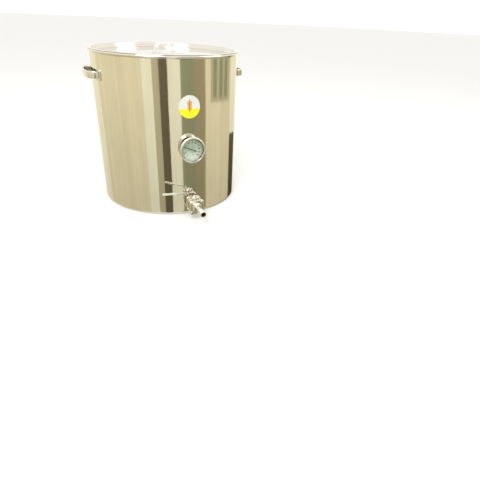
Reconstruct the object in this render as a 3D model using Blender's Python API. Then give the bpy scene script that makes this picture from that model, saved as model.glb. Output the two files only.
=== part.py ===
"""Stainless brew kettle with lid, two side handles, dial thermometer and a three-piece ball valve.

Metres, +Z up. The origin is the centre of the flat base, and the front, where the thermometer
and the valve are, faces -Y. Parts on the front are modelled along their own +Z, which points
outward, so their heights are distances from the kettle's axis.
"""
import math

import bmesh
import bpy
from mathutils import Vector

MM = 0.001
GAP = 0.3 * MM
OUTWARD = (math.radians(90), 0, 0)
TINY = 1e-9

# Kettle
WALL_RADIUS = 250 * MM
WALL_THICKNESS = 1.2 * MM
KETTLE_HEIGHT = 512 * MM
BASE_CORNER = 10 * MM
RIM_BEAD = 4.2 * MM
RIM_RADIUS = WALL_RADIUS + 5.5 * MM
ROUND_STEPS = 72
DIAL_STEPS = 36
INNER_WALL = WALL_RADIUS - WALL_THICKNESS

# Lid, hung inside the rim by its flange
LID_THICKNESS = 1.2 * MM
LID_RADIUS = 254 * MM
LID_FLANGE_INNER = 241 * MM
LID_PAN_RADIUS = 236 * MM
LID_PAN_DEPTH = 14 * MM
LID_STEP_RADII = (70 * MM, 160 * MM)
LID_STEP_HEIGHT = 1.8 * MM
LID_TURN = math.radians(30)
LID_GRIP_SPAN = 80 * MM
LID_GRIP_HEIGHT = 29 * MM
LID_GRIP_WIDTH = 15 * MM
LID_GRIP_THICKNESS = 5 * MM
LID_FOOT_LENGTH = 26 * MM
LID_FOOT_WIDTH = 20 * MM
LID_FOOT_THICKNESS = 1.6 * MM

# Side handles
HANDLE_HEIGHT = 440 * MM
HANDLE_HALF_SPAN = 76 * MM
HANDLE_REACH = 276 * MM
HANDLE_WIDTH = 21.5 * MM
HANDLE_THICKNESS = 6 * MM
HANDLE_ELBOW = 26 * MM
HANDLE_BOW = 4 * MM
HANDLE_HALF_FLAT = 15 * MM
FOOT_HEIGHT = 34 * MM
FOOT_HALF_ANGLE = math.radians(3.0)
FOOT_THICKNESS = 1.8 * MM

# Round label
LABEL_RADIUS = 35 * MM
LABEL_HEIGHT = 366 * MM
LABEL_THICKNESS = 0.3 * MM

# Dial thermometer
THERMO_HEIGHT = 234 * MM
CASE_RADIUS = 40.2 * MM
CASE_WALL = 1.0 * MM
CASE_BACK = 259.5 * MM
CASE_FRONT = 272 * MM
CASE_CORNER = 5 * MM
BEZEL_RADIUS = 42.5 * MM
BEZEL_OPENING = 37.3 * MM
BEZEL_BACK = 267 * MM
BEZEL_FRONT = 277.5 * MM
LENS_BACK = 273.3 * MM
LENS_THICKNESS = 1.8 * MM
DIAL_PLANE = 267.5 * MM
DIAL_THICKNESS = 0.8 * MM
DIAL_RADIUS = 38.3 * MM
DIAL_BORE = 3 * MM
POINTER_PLANE = 270.3 * MM
POINTER_THICKNESS = 0.5 * MM
POINTER_LENGTH = 32 * MM
POINTER_TAIL = 16.5 * MM
POINTER_REST = math.radians(156)
PROBE_RADIUS = 3.2 * MM
PROBE_BORE = 2.7 * MM
PROBE_TIP = 150 * MM
SHAFT_RADIUS = 0.6 * MM
COIL_RADIUS = 1.9 * MM
COIL_WIRE = 0.3 * MM
COIL_START = 156 * MM
COIL_LENGTH = 30 * MM
COIL_TURNS = 5

# Threaded fittings through the wall (G 1/2)
THREAD_RADIUS = 10.5 * MM
THREAD_HOLE = THREAD_RADIUS + GAP
NUT_FLATS = 27 * MM
LOCKNUT_OUTER = 247.4 * MM
SEAL_THICKNESS = 2 * MM
LOCKNUT_THICKNESS = 7 * MM

# Ball valve, along an outward axis at VALVE_HEIGHT; STEM_DISTANCE is the ball's centre
VALVE_HEIGHT = 45 * MM
STEM_DISTANCE = 285 * MM
PIPE_BORE = 7.5 * MM
BALL_RADIUS = 12 * MM
BODY_RADIUS = 20 * MM
BODY_BORE = 12.6 * MM
BODY_HALF = 12 * MM
CAP_HALF_WIDTH = 24.5 * MM
CAP_THICKNESS = 9 * MM
CAP_CORNER = 6 * MM
NECK_RADIUS = 14 * MM
NECK_END = 32.4 * MM
BOLT_OFFSET = 18.3 * MM
BOLT_RADIUS = 3 * MM
BOLT_HEAD_FLATS = 10 * MM
BOLT_HEAD_HEIGHT = 4 * MM
BOLT_NUT_HEIGHT = 5 * MM
BOSS_RADIUS = 9.5 * MM
BOSS_TOP = 22.5 * MM
STEM_RADIUS = 4.5 * MM
SLOT_WIDTH = 3.6 * MM
SLOT_FLOOR = 8.5 * MM
GLAND_BOTTOM = 17.5 * MM
LEVER_PLANE = 26.6 * MM
STEM_TOP = 34.8 * MM

# Lever, pointing along -X when the valve is closed
LEVER_THICKNESS = 2.5 * MM
LEVER_WIDTH = 9.5 * MM
LEVER_HUB_WIDTH = 18 * MM
LEVER_HUB_START = 10 * MM
LEVER_HUB_END = 11 * MM
LEVER_CRANK_END = 32 * MM
LEVER_RISE = 21 * MM
LEVER_LENGTH = 110 * MM
LEVER_TIP_RISE = 5.5 * MM
SLEEVE_START = 64 * MM
SLEEVE_END = 112.5 * MM
SLEEVE_WIDTH = 12.6 * MM
SLEEVE_THICKNESS = 5.2 * MM

# Outlet
OUTLET_START = STEM_DISTANCE + NECK_END - 9 * MM
OUTLET_RADIUS = 10.2 * MM
OUTLET_MOUTH = 368 * MM

# Pickup tube inside the kettle
PICKUP_RADIUS = 7.1 * MM
PICKUP_BORE = 6.1 * MM
PICKUP_BEND = 25 * MM
PICKUP_DROP_DISTANCE = 200 * MM
PICKUP_CLEARANCE = 8 * MM

STEEL = ("polished_steel", (0.72, 0.69, 0.60), 0.12, 1.0)
CAST_STEEL = ("cast_steel", (0.60, 0.57, 0.50), 0.32, 1.0)
SILICONE = ("silicone", (0.45, 0.12, 0.08), 0.60, 0.0)
PTFE = ("ptfe", (0.90, 0.90, 0.88), 0.45, 0.0)
VINYL = ("grey_vinyl", (0.62, 0.63, 0.62), 0.50, 0.0)
DIAL_WHITE = ("dial_white", (0.78, 0.82, 0.74), 0.55, 0.0)
BLACK_PAINT = ("black_paint", (0.02, 0.02, 0.02), 0.45, 0.0)
LABEL_FILM = ("label_film", (0.85, 0.75, 0.20), 0.40, 0.0)
GLASS = ("clear_glass", (0.90, 0.93, 0.92), 0.05, 0.0)
BIMETAL = ("bimetal", (0.55, 0.42, 0.25), 0.30, 1.0)


# ---------------------------------------------------------------- helpers

def clear_scene():
    for obj in list(bpy.data.objects):
        bpy.data.objects.remove(obj, do_unlink=True)


def material(finish):
    name, colour, roughness, metallic = finish
    mat = bpy.data.materials.new(name)
    mat.use_nodes = True
    shader = mat.node_tree.nodes["Principled BSDF"]
    shader.inputs["Base Color"].default_value = (*colour, 1)
    shader.inputs["Roughness"].default_value = roughness
    shader.inputs["Metallic"].default_value = metallic
    return mat


def place(obj, parent=None, location=(0, 0, 0), rotation=(0, 0, 0)):
    obj.parent = parent
    obj.location = location
    obj.rotation_euler = rotation
    return obj


def add_empty(name, parent=None, location=(0, 0, 0), rotation=(0, 0, 0)):
    empty = bpy.data.objects.new(name, None)
    bpy.context.collection.objects.link(empty)
    return place(empty, parent, location, rotation)


def add_piece(name, bm, finish, parent=None, location=(0, 0, 0), rotation=(0, 0, 0)):
    """One closed mesh as a named object with its own material, shaded smooth across shallow angles."""
    bmesh.ops.recalc_face_normals(bm, faces=bm.faces)
    mesh = bpy.data.meshes.new(name)
    bm.to_mesh(mesh)
    bm.free()
    mesh.shade_smooth()
    mesh.set_sharp_from_angle(angle=math.radians(35))
    mesh.materials.append(material(finish))
    obj = bpy.data.objects.new(name, mesh)
    bpy.context.collection.objects.link(obj)
    return place(obj, parent, location, rotation)


def combine(obj, bm, operation):
    """A Boolean of obj with the shape in bm, which is in obj's own coordinates."""
    bmesh.ops.recalc_face_normals(bm, faces=bm.faces)
    mesh = bpy.data.meshes.new(obj.name + "_" + operation.lower())
    bm.to_mesh(mesh)
    bm.free()
    tool = bpy.data.objects.new(mesh.name, mesh)
    bpy.context.collection.objects.link(tool)
    place(tool, obj)
    tool.hide_render = True
    tool.display_type = "WIRE"
    step = obj.modifiers.new(operation.title(), "BOOLEAN")
    step.operation = operation
    step.object = tool
    return obj


def arc(centre, radius, start, end, steps):
    """Points on an arc from start to end, in degrees, with both ends."""
    points = []
    for i in range(steps + 1):
        angle = math.radians(start + (end - start) * i / steps)
        points.append((centre[0] + radius * math.cos(angle), centre[1] + radius * math.sin(angle)))
    return points


def hexagon(flats):
    """The radius of a hexagon as a function of the angle, for use in a turned outline."""
    def radius(angle):
        return flats / 2 / math.cos(angle % (math.pi / 3) - math.pi / 6)
    return radius


def turn(bm, outline, steps, centre=(0, 0)):
    """Turns (radius, height) points about Z at centre. A radius may be a function of the angle."""
    rings = []
    for radius, height in outline:
        if not callable(radius) and radius < TINY:
            rings.append([bm.verts.new((centre[0], centre[1], height))])
            continue
        ring = []
        for i in range(steps):
            angle = math.tau * i / steps
            reach = radius(angle) if callable(radius) else radius
            x = centre[0] + reach * math.cos(angle)
            y = centre[1] + reach * math.sin(angle)
            ring.append(bm.verts.new((x, y, height)))
        rings.append(ring)
    ends_on_axis = len(rings[0]) == 1
    followers = rings[1:] if ends_on_axis else rings[1:] + rings[:1]
    for ring, following in zip(rings, followers):
        join_rings(bm, ring, following)
    return bm


def join_rings(bm, ring, following):
    steps = max(len(ring), len(following))
    for i in range(steps):
        j = (i + 1) % steps
        if len(ring) == 1:
            bm.faces.new((ring[0], following[i], following[j]))
        elif len(following) == 1:
            bm.faces.new((ring[i], ring[j], following[0]))
        else:
            bm.faces.new((ring[i], ring[j], following[j], following[i]))


def turned(outline, steps=24):
    return turn(bmesh.new(), outline, steps)


def rod(radius, bottom, top, steps=24):
    return turned([(0, bottom), (radius, bottom), (radius, top), (0, top)], steps)


def tube(outer, bore, bottom, top, steps=24):
    return turned([(bore, bottom), (outer, bottom), (outer, top), (bore, top)], steps)


def box(size, centre):
    bm = bmesh.new()
    bmesh.ops.create_cube(bm, size=1)
    bmesh.ops.scale(bm, vec=size, verts=bm.verts)
    bmesh.ops.translate(bm, vec=centre, verts=bm.verts)
    return bm


def rounded_rectangle(width, height, radius, corner_steps):
    """Points of a rounded rectangle about the origin, counter-clockwise."""
    points = []
    half_x = width / 2 - radius
    half_y = height / 2 - radius
    for corner, (sx, sy) in enumerate(((1, 1), (-1, 1), (-1, -1), (1, -1))):
        start = 90 * corner
        points += arc((sx * half_x, sy * half_y), radius, start, start + 90, corner_steps)
    return points


def extruded(points, bottom, top):
    """A prism on a flat outline, from one height to another."""
    bm = bmesh.new()
    lower = [bm.verts.new((x, y, bottom)) for x, y in points]
    upper = [bm.verts.new((x, y, top)) for x, y in points]
    bm.faces.new(lower)
    bm.faces.new(upper)
    join_rings(bm, lower, upper)
    return bm


def swept(sections):
    """A solid through rings of points, closed at both ends."""
    bm = bmesh.new()
    rings = [[bm.verts.new(point) for point in section] for section in sections]
    bm.faces.new(rings[0])
    bm.faces.new(rings[-1])
    for ring, following in zip(rings, rings[1:]):
        join_rings(bm, ring, following)
    return bm


def strap_sections(path, width, thickness, corner):
    """Rounded sections of a flat strap along a path in the XY plane; the width is along Z."""
    sections = []
    profile = rounded_rectangle(thickness, width, corner, 2)
    for i, point in enumerate(path):
        before = Vector(path[max(i - 1, 0)])
        after = Vector(path[min(i + 1, len(path) - 1)])
        tangent = (after - before).normalized()
        normal = Vector((tangent.y, -tangent.x))
        section = []
        for offset, height in profile:
            section.append(Vector((point[0] + normal.x * offset, point[1] + normal.y * offset, height)))
        sections.append(section)
    return sections


# ---------------------------------------------------------------- kettle and lid

def kettle_shell():
    """A thin cup with a small corner radius at its base and a rolled bead at its rim."""
    bead_centre = KETTLE_HEIGHT - RIM_BEAD
    inner_corner = BASE_CORNER - WALL_THICKNESS
    outline = [(0, 0)]
    outline += arc((WALL_RADIUS - BASE_CORNER, BASE_CORNER), BASE_CORNER, -90, 0, 4)
    outline += [(WALL_RADIUS, KETTLE_HEIGHT - 2 * RIM_BEAD)]
    outline += arc((RIM_RADIUS - RIM_BEAD, bead_centre), RIM_BEAD, -60, 90, 5)
    outline += [(INNER_WALL, KETTLE_HEIGHT)]
    outline += arc((WALL_RADIUS - BASE_CORNER, BASE_CORNER), inner_corner, 0, -90, 3)
    outline += [(0, WALL_THICKNESS)]
    shell = add_piece("kettle_shell", turned(outline, ROUND_STEPS), STEEL)
    for height in (VALVE_HEIGHT, THERMO_HEIGHT):
        hole = rod(THREAD_HOLE, WALL_RADIUS - 15 * MM, WALL_RADIUS + 10 * MM)
        bmesh.ops.rotate(hole, verts=hole.verts, matrix=Vector((0, -1, 0)).to_track_quat("Z", "Y").to_matrix())
        bmesh.ops.translate(hole, verts=hole.verts, vec=(0, 0, height))
        combine(shell, hole, "DIFFERENCE")


def lid_surface():
    """The lid's upper surface as (radius, height) points, from the centre outward."""
    pan = KETTLE_HEIGHT - LID_PAN_DEPTH
    level = pan + LID_STEP_HEIGHT * len(LID_STEP_RADII)
    points = [(0, level)]
    for radius in LID_STEP_RADII:
        points.append((radius - MM, level))
        level -= LID_STEP_HEIGHT
        points.append((radius + MM, level))
    flange = KETTLE_HEIGHT + GAP + LID_THICKNESS
    points.append((LID_PAN_RADIUS, pan))
    points.append((LID_PAN_RADIUS + 3 * MM, pan + 2 * MM))
    points.append((LID_FLANGE_INNER, flange - MM))
    points.append((LID_FLANGE_INNER + 1.5 * MM, flange))
    points.append((LID_RADIUS, flange))
    return points


def lid(lift):
    upper = lid_surface()
    lower = []
    for radius, height in reversed(upper):
        inset = LID_THICKNESS if LID_PAN_RADIUS < radius < LID_RADIUS else 0
        lower.append((radius + inset, height - LID_THICKNESS))
    add_piece("lid", turned(upper + lower, ROUND_STEPS), STEEL, lift)


def lid_grip(lift):
    """A bent strap on two foot plates at the middle of the lid."""
    top = lid_surface()[0][1]
    turn_point = add_empty("lid_grip_centre", lift, (0, 0, top), (0, 0, LID_TURN))
    foot_top = GAP + LID_FOOT_THICKNESS
    half = LID_GRIP_SPAN / 2
    for side, sign in (("left", -1), ("right", 1)):
        plate = extruded(rounded_rectangle(LID_FOOT_LENGTH, LID_FOOT_WIDTH, 5 * MM, 3), GAP, foot_top)
        location = (sign * (half - 2 * MM), 0, 0)
        add_piece("lid_handle_foot_" + side, plate, STEEL, turn_point, location)
    bend = 13 * MM
    peak = LID_GRIP_HEIGHT - LID_GRIP_THICKNESS / 2
    path = [(half, foot_top + GAP)]
    path += arc((half - bend, peak - bend), bend, 0, 90, 5)
    path += arc((bend - half, peak - bend), bend, 90, 180, 5)
    path += [(-half, foot_top + GAP)]
    sections = strap_sections(path, LID_GRIP_WIDTH, LID_GRIP_THICKNESS, 2 * MM)
    add_piece("lid_handle", swept(sections), STEEL, turn_point, rotation=OUTWARD)


# ---------------------------------------------------------------- side handles

def handle_foot(name, sign, angle):
    """A small plate bent to the wall, which the strap's end is welded to."""
    inner = WALL_RADIUS + GAP
    sections = []
    steps = 6
    for i in range(steps + 1):
        turn_angle = angle - FOOT_HALF_ANGLE + 2 * FOOT_HALF_ANGLE * i / steps
        trim = 4 * MM if i in (0, steps) else 0
        direction = Vector((sign * math.cos(turn_angle), math.sin(turn_angle), 0))
        section = []
        for reach, height in ((inner, -1), (inner + FOOT_THICKNESS, -1), (inner + FOOT_THICKNESS, 1), (inner, 1)):
            level = HANDLE_HEIGHT + height * (FOOT_HEIGHT / 2 - trim)
            section.append(direction * reach + Vector((0, 0, level)))
        sections.append(section)
    add_piece(name, swept(sections), STEEL)


def side_handle(name, sign):
    """A strap bent into a low loop: two legs, wide elbows and a grip that bows outward."""
    outer = HANDLE_REACH - HANDLE_THICKNESS / 2
    half = HANDLE_HALF_SPAN
    seat = WALL_RADIUS + FOOT_THICKNESS + 2 * GAP
    leg_start = math.sqrt(seat ** 2 - (half - HANDLE_THICKNESS / 2) ** 2) + GAP
    elbow_x = outer - HANDLE_BOW - HANDLE_ELBOW
    elbow_y = half - HANDLE_ELBOW
    lean = math.degrees(math.atan(HANDLE_BOW / (elbow_y - HANDLE_HALF_FLAT)))
    path = [(seat * 0.9, half), (leg_start, half)]
    path += arc((elbow_x, elbow_y), HANDLE_ELBOW, 90, lean, 6)
    path += [(outer, HANDLE_HALF_FLAT), (outer, -HANDLE_HALF_FLAT)]
    path += arc((elbow_x, -elbow_y), HANDLE_ELBOW, -lean, -90, 6)
    path += [(leg_start, -half), (seat * 0.9, -half)]
    sections = strap_sections(path, HANDLE_WIDTH, HANDLE_THICKNESS, 2.4 * MM)
    for section in (sections[0], sections[-1]):
        for point in section:
            point.x = math.sqrt(seat ** 2 - point.y ** 2)
    for section in sections:
        for point in section:
            point.x *= sign
    add_piece(name, swept(sections), STEEL, location=(0, 0, HANDLE_HEIGHT))


def side_handles():
    foot_angle = math.asin(HANDLE_HALF_SPAN / WALL_RADIUS)
    for side, sign in (("left", -1), ("right", 1)):
        side_handle("handle_" + side, sign)
        for end, angle in (("front", -foot_angle), ("rear", foot_angle)):
            handle_foot("handle_" + side + "_foot_" + end, sign, angle)


# ---------------------------------------------------------------- label

def label():
    """A thin round film wrapped on the wall."""
    bm = bmesh.new()
    layers = []
    rings = (0.34, 0.67, 1.0)
    steps = 28
    for reach in (WALL_RADIUS + GAP, WALL_RADIUS + GAP + LABEL_THICKNESS):
        layer = [[bm.verts.new(on_wall(0, 0, reach))]]
        for fraction in rings:
            ring = []
            for i in range(steps):
                angle = math.tau * i / steps
                across = LABEL_RADIUS * fraction * math.cos(angle)
                up = LABEL_RADIUS * fraction * math.sin(angle)
                ring.append(bm.verts.new(on_wall(across, up, reach)))
            layer.append(ring)
        for ring, following in zip(layer, layer[1:]):
            join_rings(bm, ring, following)
        layers.append(layer)
    join_rings(bm, layers[0][-1], layers[1][-1])
    add_piece("label", bm, LABEL_FILM)


def on_wall(across, up, reach):
    angle = across / WALL_RADIUS
    return (reach * math.sin(angle), -reach * math.cos(angle), LABEL_HEIGHT + up)


# ---------------------------------------------------------------- thermometer

def thermometer_fittings(axis):
    """The threaded fitting through the wall, its seal and its locknut."""
    hexes = hexagon(NUT_FLATS)
    seal_back = WALL_RADIUS + GAP
    seal_front = seal_back + SEAL_THICKNESS
    add_piece("thermometer_seal", tube(15 * MM, THREAD_HOLE, seal_back, seal_front), SILICONE, axis)
    hex_back = seal_front + GAP
    hex_front = hex_back + 6 * MM
    bore = PROBE_RADIUS + GAP
    spigot = 7 * MM
    outline = [(bore, 237 * MM), (THREAD_RADIUS, 237 * MM), (THREAD_RADIUS, hex_back), (hexes, hex_back)]
    outline += [(hexes, hex_front), (spigot, hex_front), (spigot, CASE_BACK + 2.5 * MM)]
    outline += [(bore, CASE_BACK + 2.5 * MM)]
    add_piece("thermometer_fitting", turned(outline), STEEL, axis)
    nut = tube(hexes, THREAD_HOLE, LOCKNUT_OUTER - LOCKNUT_THICKNESS, LOCKNUT_OUTER)
    add_piece("thermometer_locknut", nut, STEEL, axis)


def thermometer_case(axis):
    """The cup behind the dial, with a rounded back edge and a hole for the fitting's spigot."""
    inner = CASE_RADIUS - CASE_WALL
    hole = 7 * MM + GAP
    outline = [(hole, CASE_BACK)]
    outline += arc((CASE_RADIUS - CASE_CORNER, CASE_BACK + CASE_CORNER), CASE_CORNER, -90, 0, 3)
    outline += [(CASE_RADIUS, CASE_FRONT), (inner, CASE_FRONT)]
    outline += arc((CASE_RADIUS - CASE_CORNER, CASE_BACK + CASE_CORNER), CASE_CORNER - CASE_WALL, 0, -90, 3)
    outline += [(hole, CASE_BACK + CASE_WALL)]
    add_piece("thermometer_case", turned(outline, DIAL_STEPS), STEEL, axis)


def thermometer_front(axis):
    """Bezel, lens and dial."""
    fit = CASE_RADIUS + GAP
    lip_back = LENS_BACK + LENS_THICKNESS + GAP
    outline = [(fit, BEZEL_BACK), (BEZEL_RADIUS, BEZEL_BACK), (BEZEL_RADIUS, BEZEL_FRONT - 2 * MM)]
    outline += [(BEZEL_RADIUS - 1.5 * MM, BEZEL_FRONT), (BEZEL_OPENING + 1.5 * MM, BEZEL_FRONT)]
    outline += [(BEZEL_OPENING, lip_back), (fit, lip_back)]
    add_piece("thermometer_bezel", turned(outline, DIAL_STEPS), STEEL, axis)
    lens = rod(CASE_RADIUS - 0.5 * MM, LENS_BACK, LENS_BACK + LENS_THICKNESS, DIAL_STEPS)
    add_piece("thermometer_lens", lens, GLASS, axis)
    dial = tube(DIAL_RADIUS, DIAL_BORE, DIAL_PLANE, DIAL_PLANE + DIAL_THICKNESS, DIAL_STEPS)
    add_piece("thermometer_dial", dial, DIAL_WHITE, axis)


def thermometer_probe(axis):
    """The closed tube in the liquid, with the bimetal coil and the shaft's guide in it."""
    open_end = CASE_BACK + 4 * MM
    outline = [(0, PROBE_TIP), (PROBE_RADIUS - 1 * MM, PROBE_TIP), (PROBE_RADIUS, PROBE_TIP + 1 * MM)]
    outline += [(PROBE_RADIUS, open_end), (PROBE_BORE, open_end), (PROBE_BORE, PROBE_TIP + 2 * MM)]
    outline += [(0, PROBE_TIP + 2 * MM)]
    add_piece("thermometer_probe", turned(outline, 16), STEEL, axis)
    guide = tube(PROBE_BORE - GAP, SHAFT_RADIUS + GAP, open_end - 7 * MM, open_end - 1 * MM, 12)
    add_piece("thermometer_shaft_guide", guide, PTFE, axis)
    sections = []
    steps_per_turn = 9
    sides = 4
    for i in range(COIL_TURNS * steps_per_turn + 1):
        angle = math.tau * i / steps_per_turn
        outward = Vector((math.cos(angle), math.sin(angle), 0))
        height = COIL_START + COIL_LENGTH * i / (COIL_TURNS * steps_per_turn)
        centre = outward * COIL_RADIUS + Vector((0, 0, height))
        section = []
        for k in range(sides):
            around = math.tau * k / sides
            offset = outward * math.cos(around) + Vector((0, 0, math.sin(around)))
            section.append(centre + offset * COIL_WIRE)
        sections.append(section)
    add_piece("thermometer_bimetal_coil", swept(sections), BIMETAL, axis)


def thermometer_pointer(axis):
    """The turning part: a shaft from the coil to the dial, and the pointer on its end."""
    turning = add_empty("thermometer_pointer_axis", axis)
    shaft = rod(SHAFT_RADIUS, COIL_START - 2 * MM, POINTER_PLANE + 2.2 * MM, 10)
    add_piece("thermometer_shaft", shaft, STEEL, turning)
    hub = 3.2 * MM
    blade = 0.7 * MM
    arrow = 2.6 * MM
    outline = [(POINTER_LENGTH, 0.2 * MM), (hub, blade)]
    outline += arc((0, 0), hub, 15, 165, 6)
    outline += [(-hub, blade), (-POINTER_TAIL * 0.55, blade), (-POINTER_TAIL * 0.5, arrow)]
    outline += [(-POINTER_TAIL, 0.3 * MM)]
    mirrored = [(x, -y) for x, y in reversed(outline)]
    plate = extruded(outline + mirrored, POINTER_PLANE, POINTER_PLANE + POINTER_THICKNESS)
    pointer = add_piece("thermometer_pointer", plate, BLACK_PAINT, turning, rotation=(0, 0, POINTER_REST))
    hole = rod(SHAFT_RADIUS + GAP, POINTER_PLANE - MM, POINTER_PLANE + 2 * MM, 10)
    combine(pointer, hole, "DIFFERENCE")


# ---------------------------------------------------------------- valve

def bulkhead(axis):
    """What clamps the valve to the wall: nipple and seal, with washer and locknut inside."""
    hexes = hexagon(NUT_FLATS)
    seal_back = WALL_RADIUS + GAP
    seal = tube(14 * MM, THREAD_HOLE, seal_back, seal_back + SEAL_THICKNESS)
    add_piece("bulkhead_seal", seal, SILICONE, axis)
    washer_back = LOCKNUT_OUTER - 1.5 * MM
    add_piece("bulkhead_washer", tube(16 * MM, THREAD_HOLE, washer_back, LOCKNUT_OUTER), STEEL, axis)
    inner_end = 234 * MM
    thread_end = STEM_DISTANCE - NECK_END + 9 * MM
    add_piece("bulkhead_nipple", tube(THREAD_RADIUS, PIPE_BORE, inner_end, thread_end), STEEL, axis)
    nut_top = washer_back - GAP
    nut = tube(hexes, THREAD_HOLE, nut_top - LOCKNUT_THICKNESS, nut_top)
    add_piece("bulkhead_locknut", nut, STEEL, axis)


def pickup_tube(axis):
    """A bent tube from the nipple's bore to just above the base."""
    start = 243 * MM
    bend_height = -PICKUP_BEND
    path = [(start, 0)]
    path += [(PICKUP_DROP_DISTANCE + PICKUP_BEND, 0)]
    path += arc((PICKUP_DROP_DISTANCE + PICKUP_BEND, bend_height), PICKUP_BEND, 90, 180, 6)[1:]
    path += [(PICKUP_DROP_DISTANCE, PICKUP_CLEARANCE + WALL_THICKNESS - VALVE_HEIGHT)]
    sides = 14
    bm = bmesh.new()
    layers = []
    for radius in (PICKUP_RADIUS, PICKUP_BORE):
        layer = []
        for i, point in enumerate(path):
            before = Vector(path[max(i - 1, 0)])
            after = Vector(path[min(i + 1, len(path) - 1)])
            tangent = (after - before).normalized()
            ring = []
            for k in range(sides):
                angle = math.tau * k / sides
                sideways = radius * math.cos(angle)
                lift = radius * math.sin(angle)
                up = point[1] + tangent.x * lift
                out = point[0] - tangent.y * lift
                ring.append(bm.verts.new((sideways, up, out)))
            layer.append(ring)
        for ring, following in zip(layer, layer[1:]):
            join_rings(bm, ring, following)
        layers.append(layer)
    join_rings(bm, layers[0][0], layers[1][0])
    join_rings(bm, layers[0][-1], layers[1][-1])
    add_piece("pickup_tube", bm, STEEL, axis)


def bolt_places():
    for index, (sx, sy) in enumerate(((-1, 1), (1, 1), (1, -1), (-1, -1)), start=1):
        yield index, sx * BOLT_OFFSET, sy * BOLT_OFFSET


def valve_cap(name, centre, flip, socket):
    """A square end cap with four bolt holes and a round neck; its bore widens to a thread."""
    plate_back = BODY_HALF + GAP
    plate_front = plate_back + CAP_THICKNESS
    width = 2 * CAP_HALF_WIDTH
    plate = extruded(rounded_rectangle(width, width, CAP_CORNER, 3), plate_back, plate_front)
    rotation = (math.pi, 0, 0) if flip else (0, 0, 0)
    cap = add_piece(name, plate, CAST_STEEL, centre, rotation=rotation)
    neck = turned([(0, plate_back + MM), (NECK_RADIUS, plate_back + MM), (NECK_RADIUS, NECK_END - MM),
                   (NECK_RADIUS - MM, NECK_END), (0, NECK_END)])
    combine(cap, neck, "UNION")
    holes = turned([(0, 0), (PIPE_BORE, 0), (PIPE_BORE, socket), (THREAD_HOLE, socket),
                    (THREAD_HOLE, NECK_END + MM), (0, NECK_END + MM)])
    for _, x, y in bolt_places():
        reach = BOLT_RADIUS + GAP
        hole = [(0, 0), (reach, 0), (reach, plate_front + MM), (0, plate_front + MM)]
        turn(holes, hole, 12, (x, y))
    combine(cap, holes, "DIFFERENCE")


def valve_body(centre):
    """The round middle piece with the stem boss on top."""
    body = add_piece("valve_body", rod(BODY_RADIUS, -BODY_HALF, BODY_HALF, 32), CAST_STEEL, centre)
    boss = turned([(0, 0), (BOSS_RADIUS, 0), (BOSS_RADIUS, BOSS_TOP), (0, BOSS_TOP)])
    combine(body, upright(boss), "UNION")
    combine(body, rod(BODY_BORE, -BODY_HALF - MM, BODY_HALF + MM, 32), "DIFFERENCE")
    passage = STEM_RADIUS + GAP
    pocket = 7.5 * MM
    stem_hole = turned([(0, 5 * MM), (passage, 5 * MM), (passage, GLAND_BOTTOM), (pocket, GLAND_BOTTOM),
                        (pocket, BOSS_TOP + MM), (0, BOSS_TOP + MM)])
    combine(body, upright(stem_hole), "DIFFERENCE")


def upright(bm):
    """Turns a shape so that its own +Z becomes the valve's up, which is local +Y."""
    for vert in bm.verts:
        vert.co = Vector((vert.co.x, vert.co.z, -vert.co.y))
    return bm


def valve_seats(centre):
    """Two soft rings that the ball is pressed against."""
    clearance = BALL_RADIUS + 0.4 * MM
    outer = BODY_BORE - GAP
    inner_angle = math.degrees(math.acos(PIPE_BORE / clearance))
    outer_angle = math.degrees(math.acos(11.6 * MM / clearance))
    for name, rotation in (("valve_seat_front", (0, 0, 0)), ("valve_seat_rear", (math.pi, 0, 0))):
        outline = arc((0, 0), clearance, inner_angle, outer_angle, 3)
        outline += [(outer, clearance * math.sin(math.radians(outer_angle)))]
        outline += [(outer, BODY_HALF), (PIPE_BORE, BODY_HALF)]
        add_piece(name, turned(outline), PTFE, centre, rotation=rotation)


def valve_bolts(centre):
    """Four long bolts with their heads at the front and their nuts at the rear."""
    face = BODY_HALF + CAP_THICKNESS + 2 * GAP
    hexes = hexagon(BOLT_HEAD_FLATS)
    for index, x, y in bolt_places():
        end = -face - BOLT_NUT_HEIGHT - 1.5 * MM
        head_top = face + BOLT_HEAD_HEIGHT
        outline = [(0, end), (BOLT_RADIUS, end), (BOLT_RADIUS, face), (hexes, face)]
        outline += [(hexes, head_top), (0, head_top)]
        add_piece("body_bolt_" + str(index), turned(outline, 12), STEEL, centre, (x, y, 0))
        nut = tube(hexes, BOLT_RADIUS + GAP, -face - BOLT_NUT_HEIGHT, -face, 12)
        add_piece("body_nut_" + str(index), nut, STEEL, centre, (x, y, 0))


def valve_ball(pivot):
    """A sphere with its bore along X when closed and a slot for the stem's tang on top."""
    bore_angle = math.degrees(math.asin(PIPE_BORE / BALL_RADIUS))
    outline = arc((0, 0), BALL_RADIUS, 90 - bore_angle, bore_angle - 90, 8)
    ball = turned(outline, 24)
    for vert in ball.verts:
        vert.co = Vector((vert.co.z, vert.co.y, -vert.co.x))
    piece = add_piece("valve_ball", ball, STEEL, pivot)
    slot = box((SLOT_WIDTH, 3 * BALL_RADIUS, BALL_RADIUS), (0, 0, SLOT_FLOOR + BALL_RADIUS / 2))
    combine(piece, slot, "DIFFERENCE")


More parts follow.
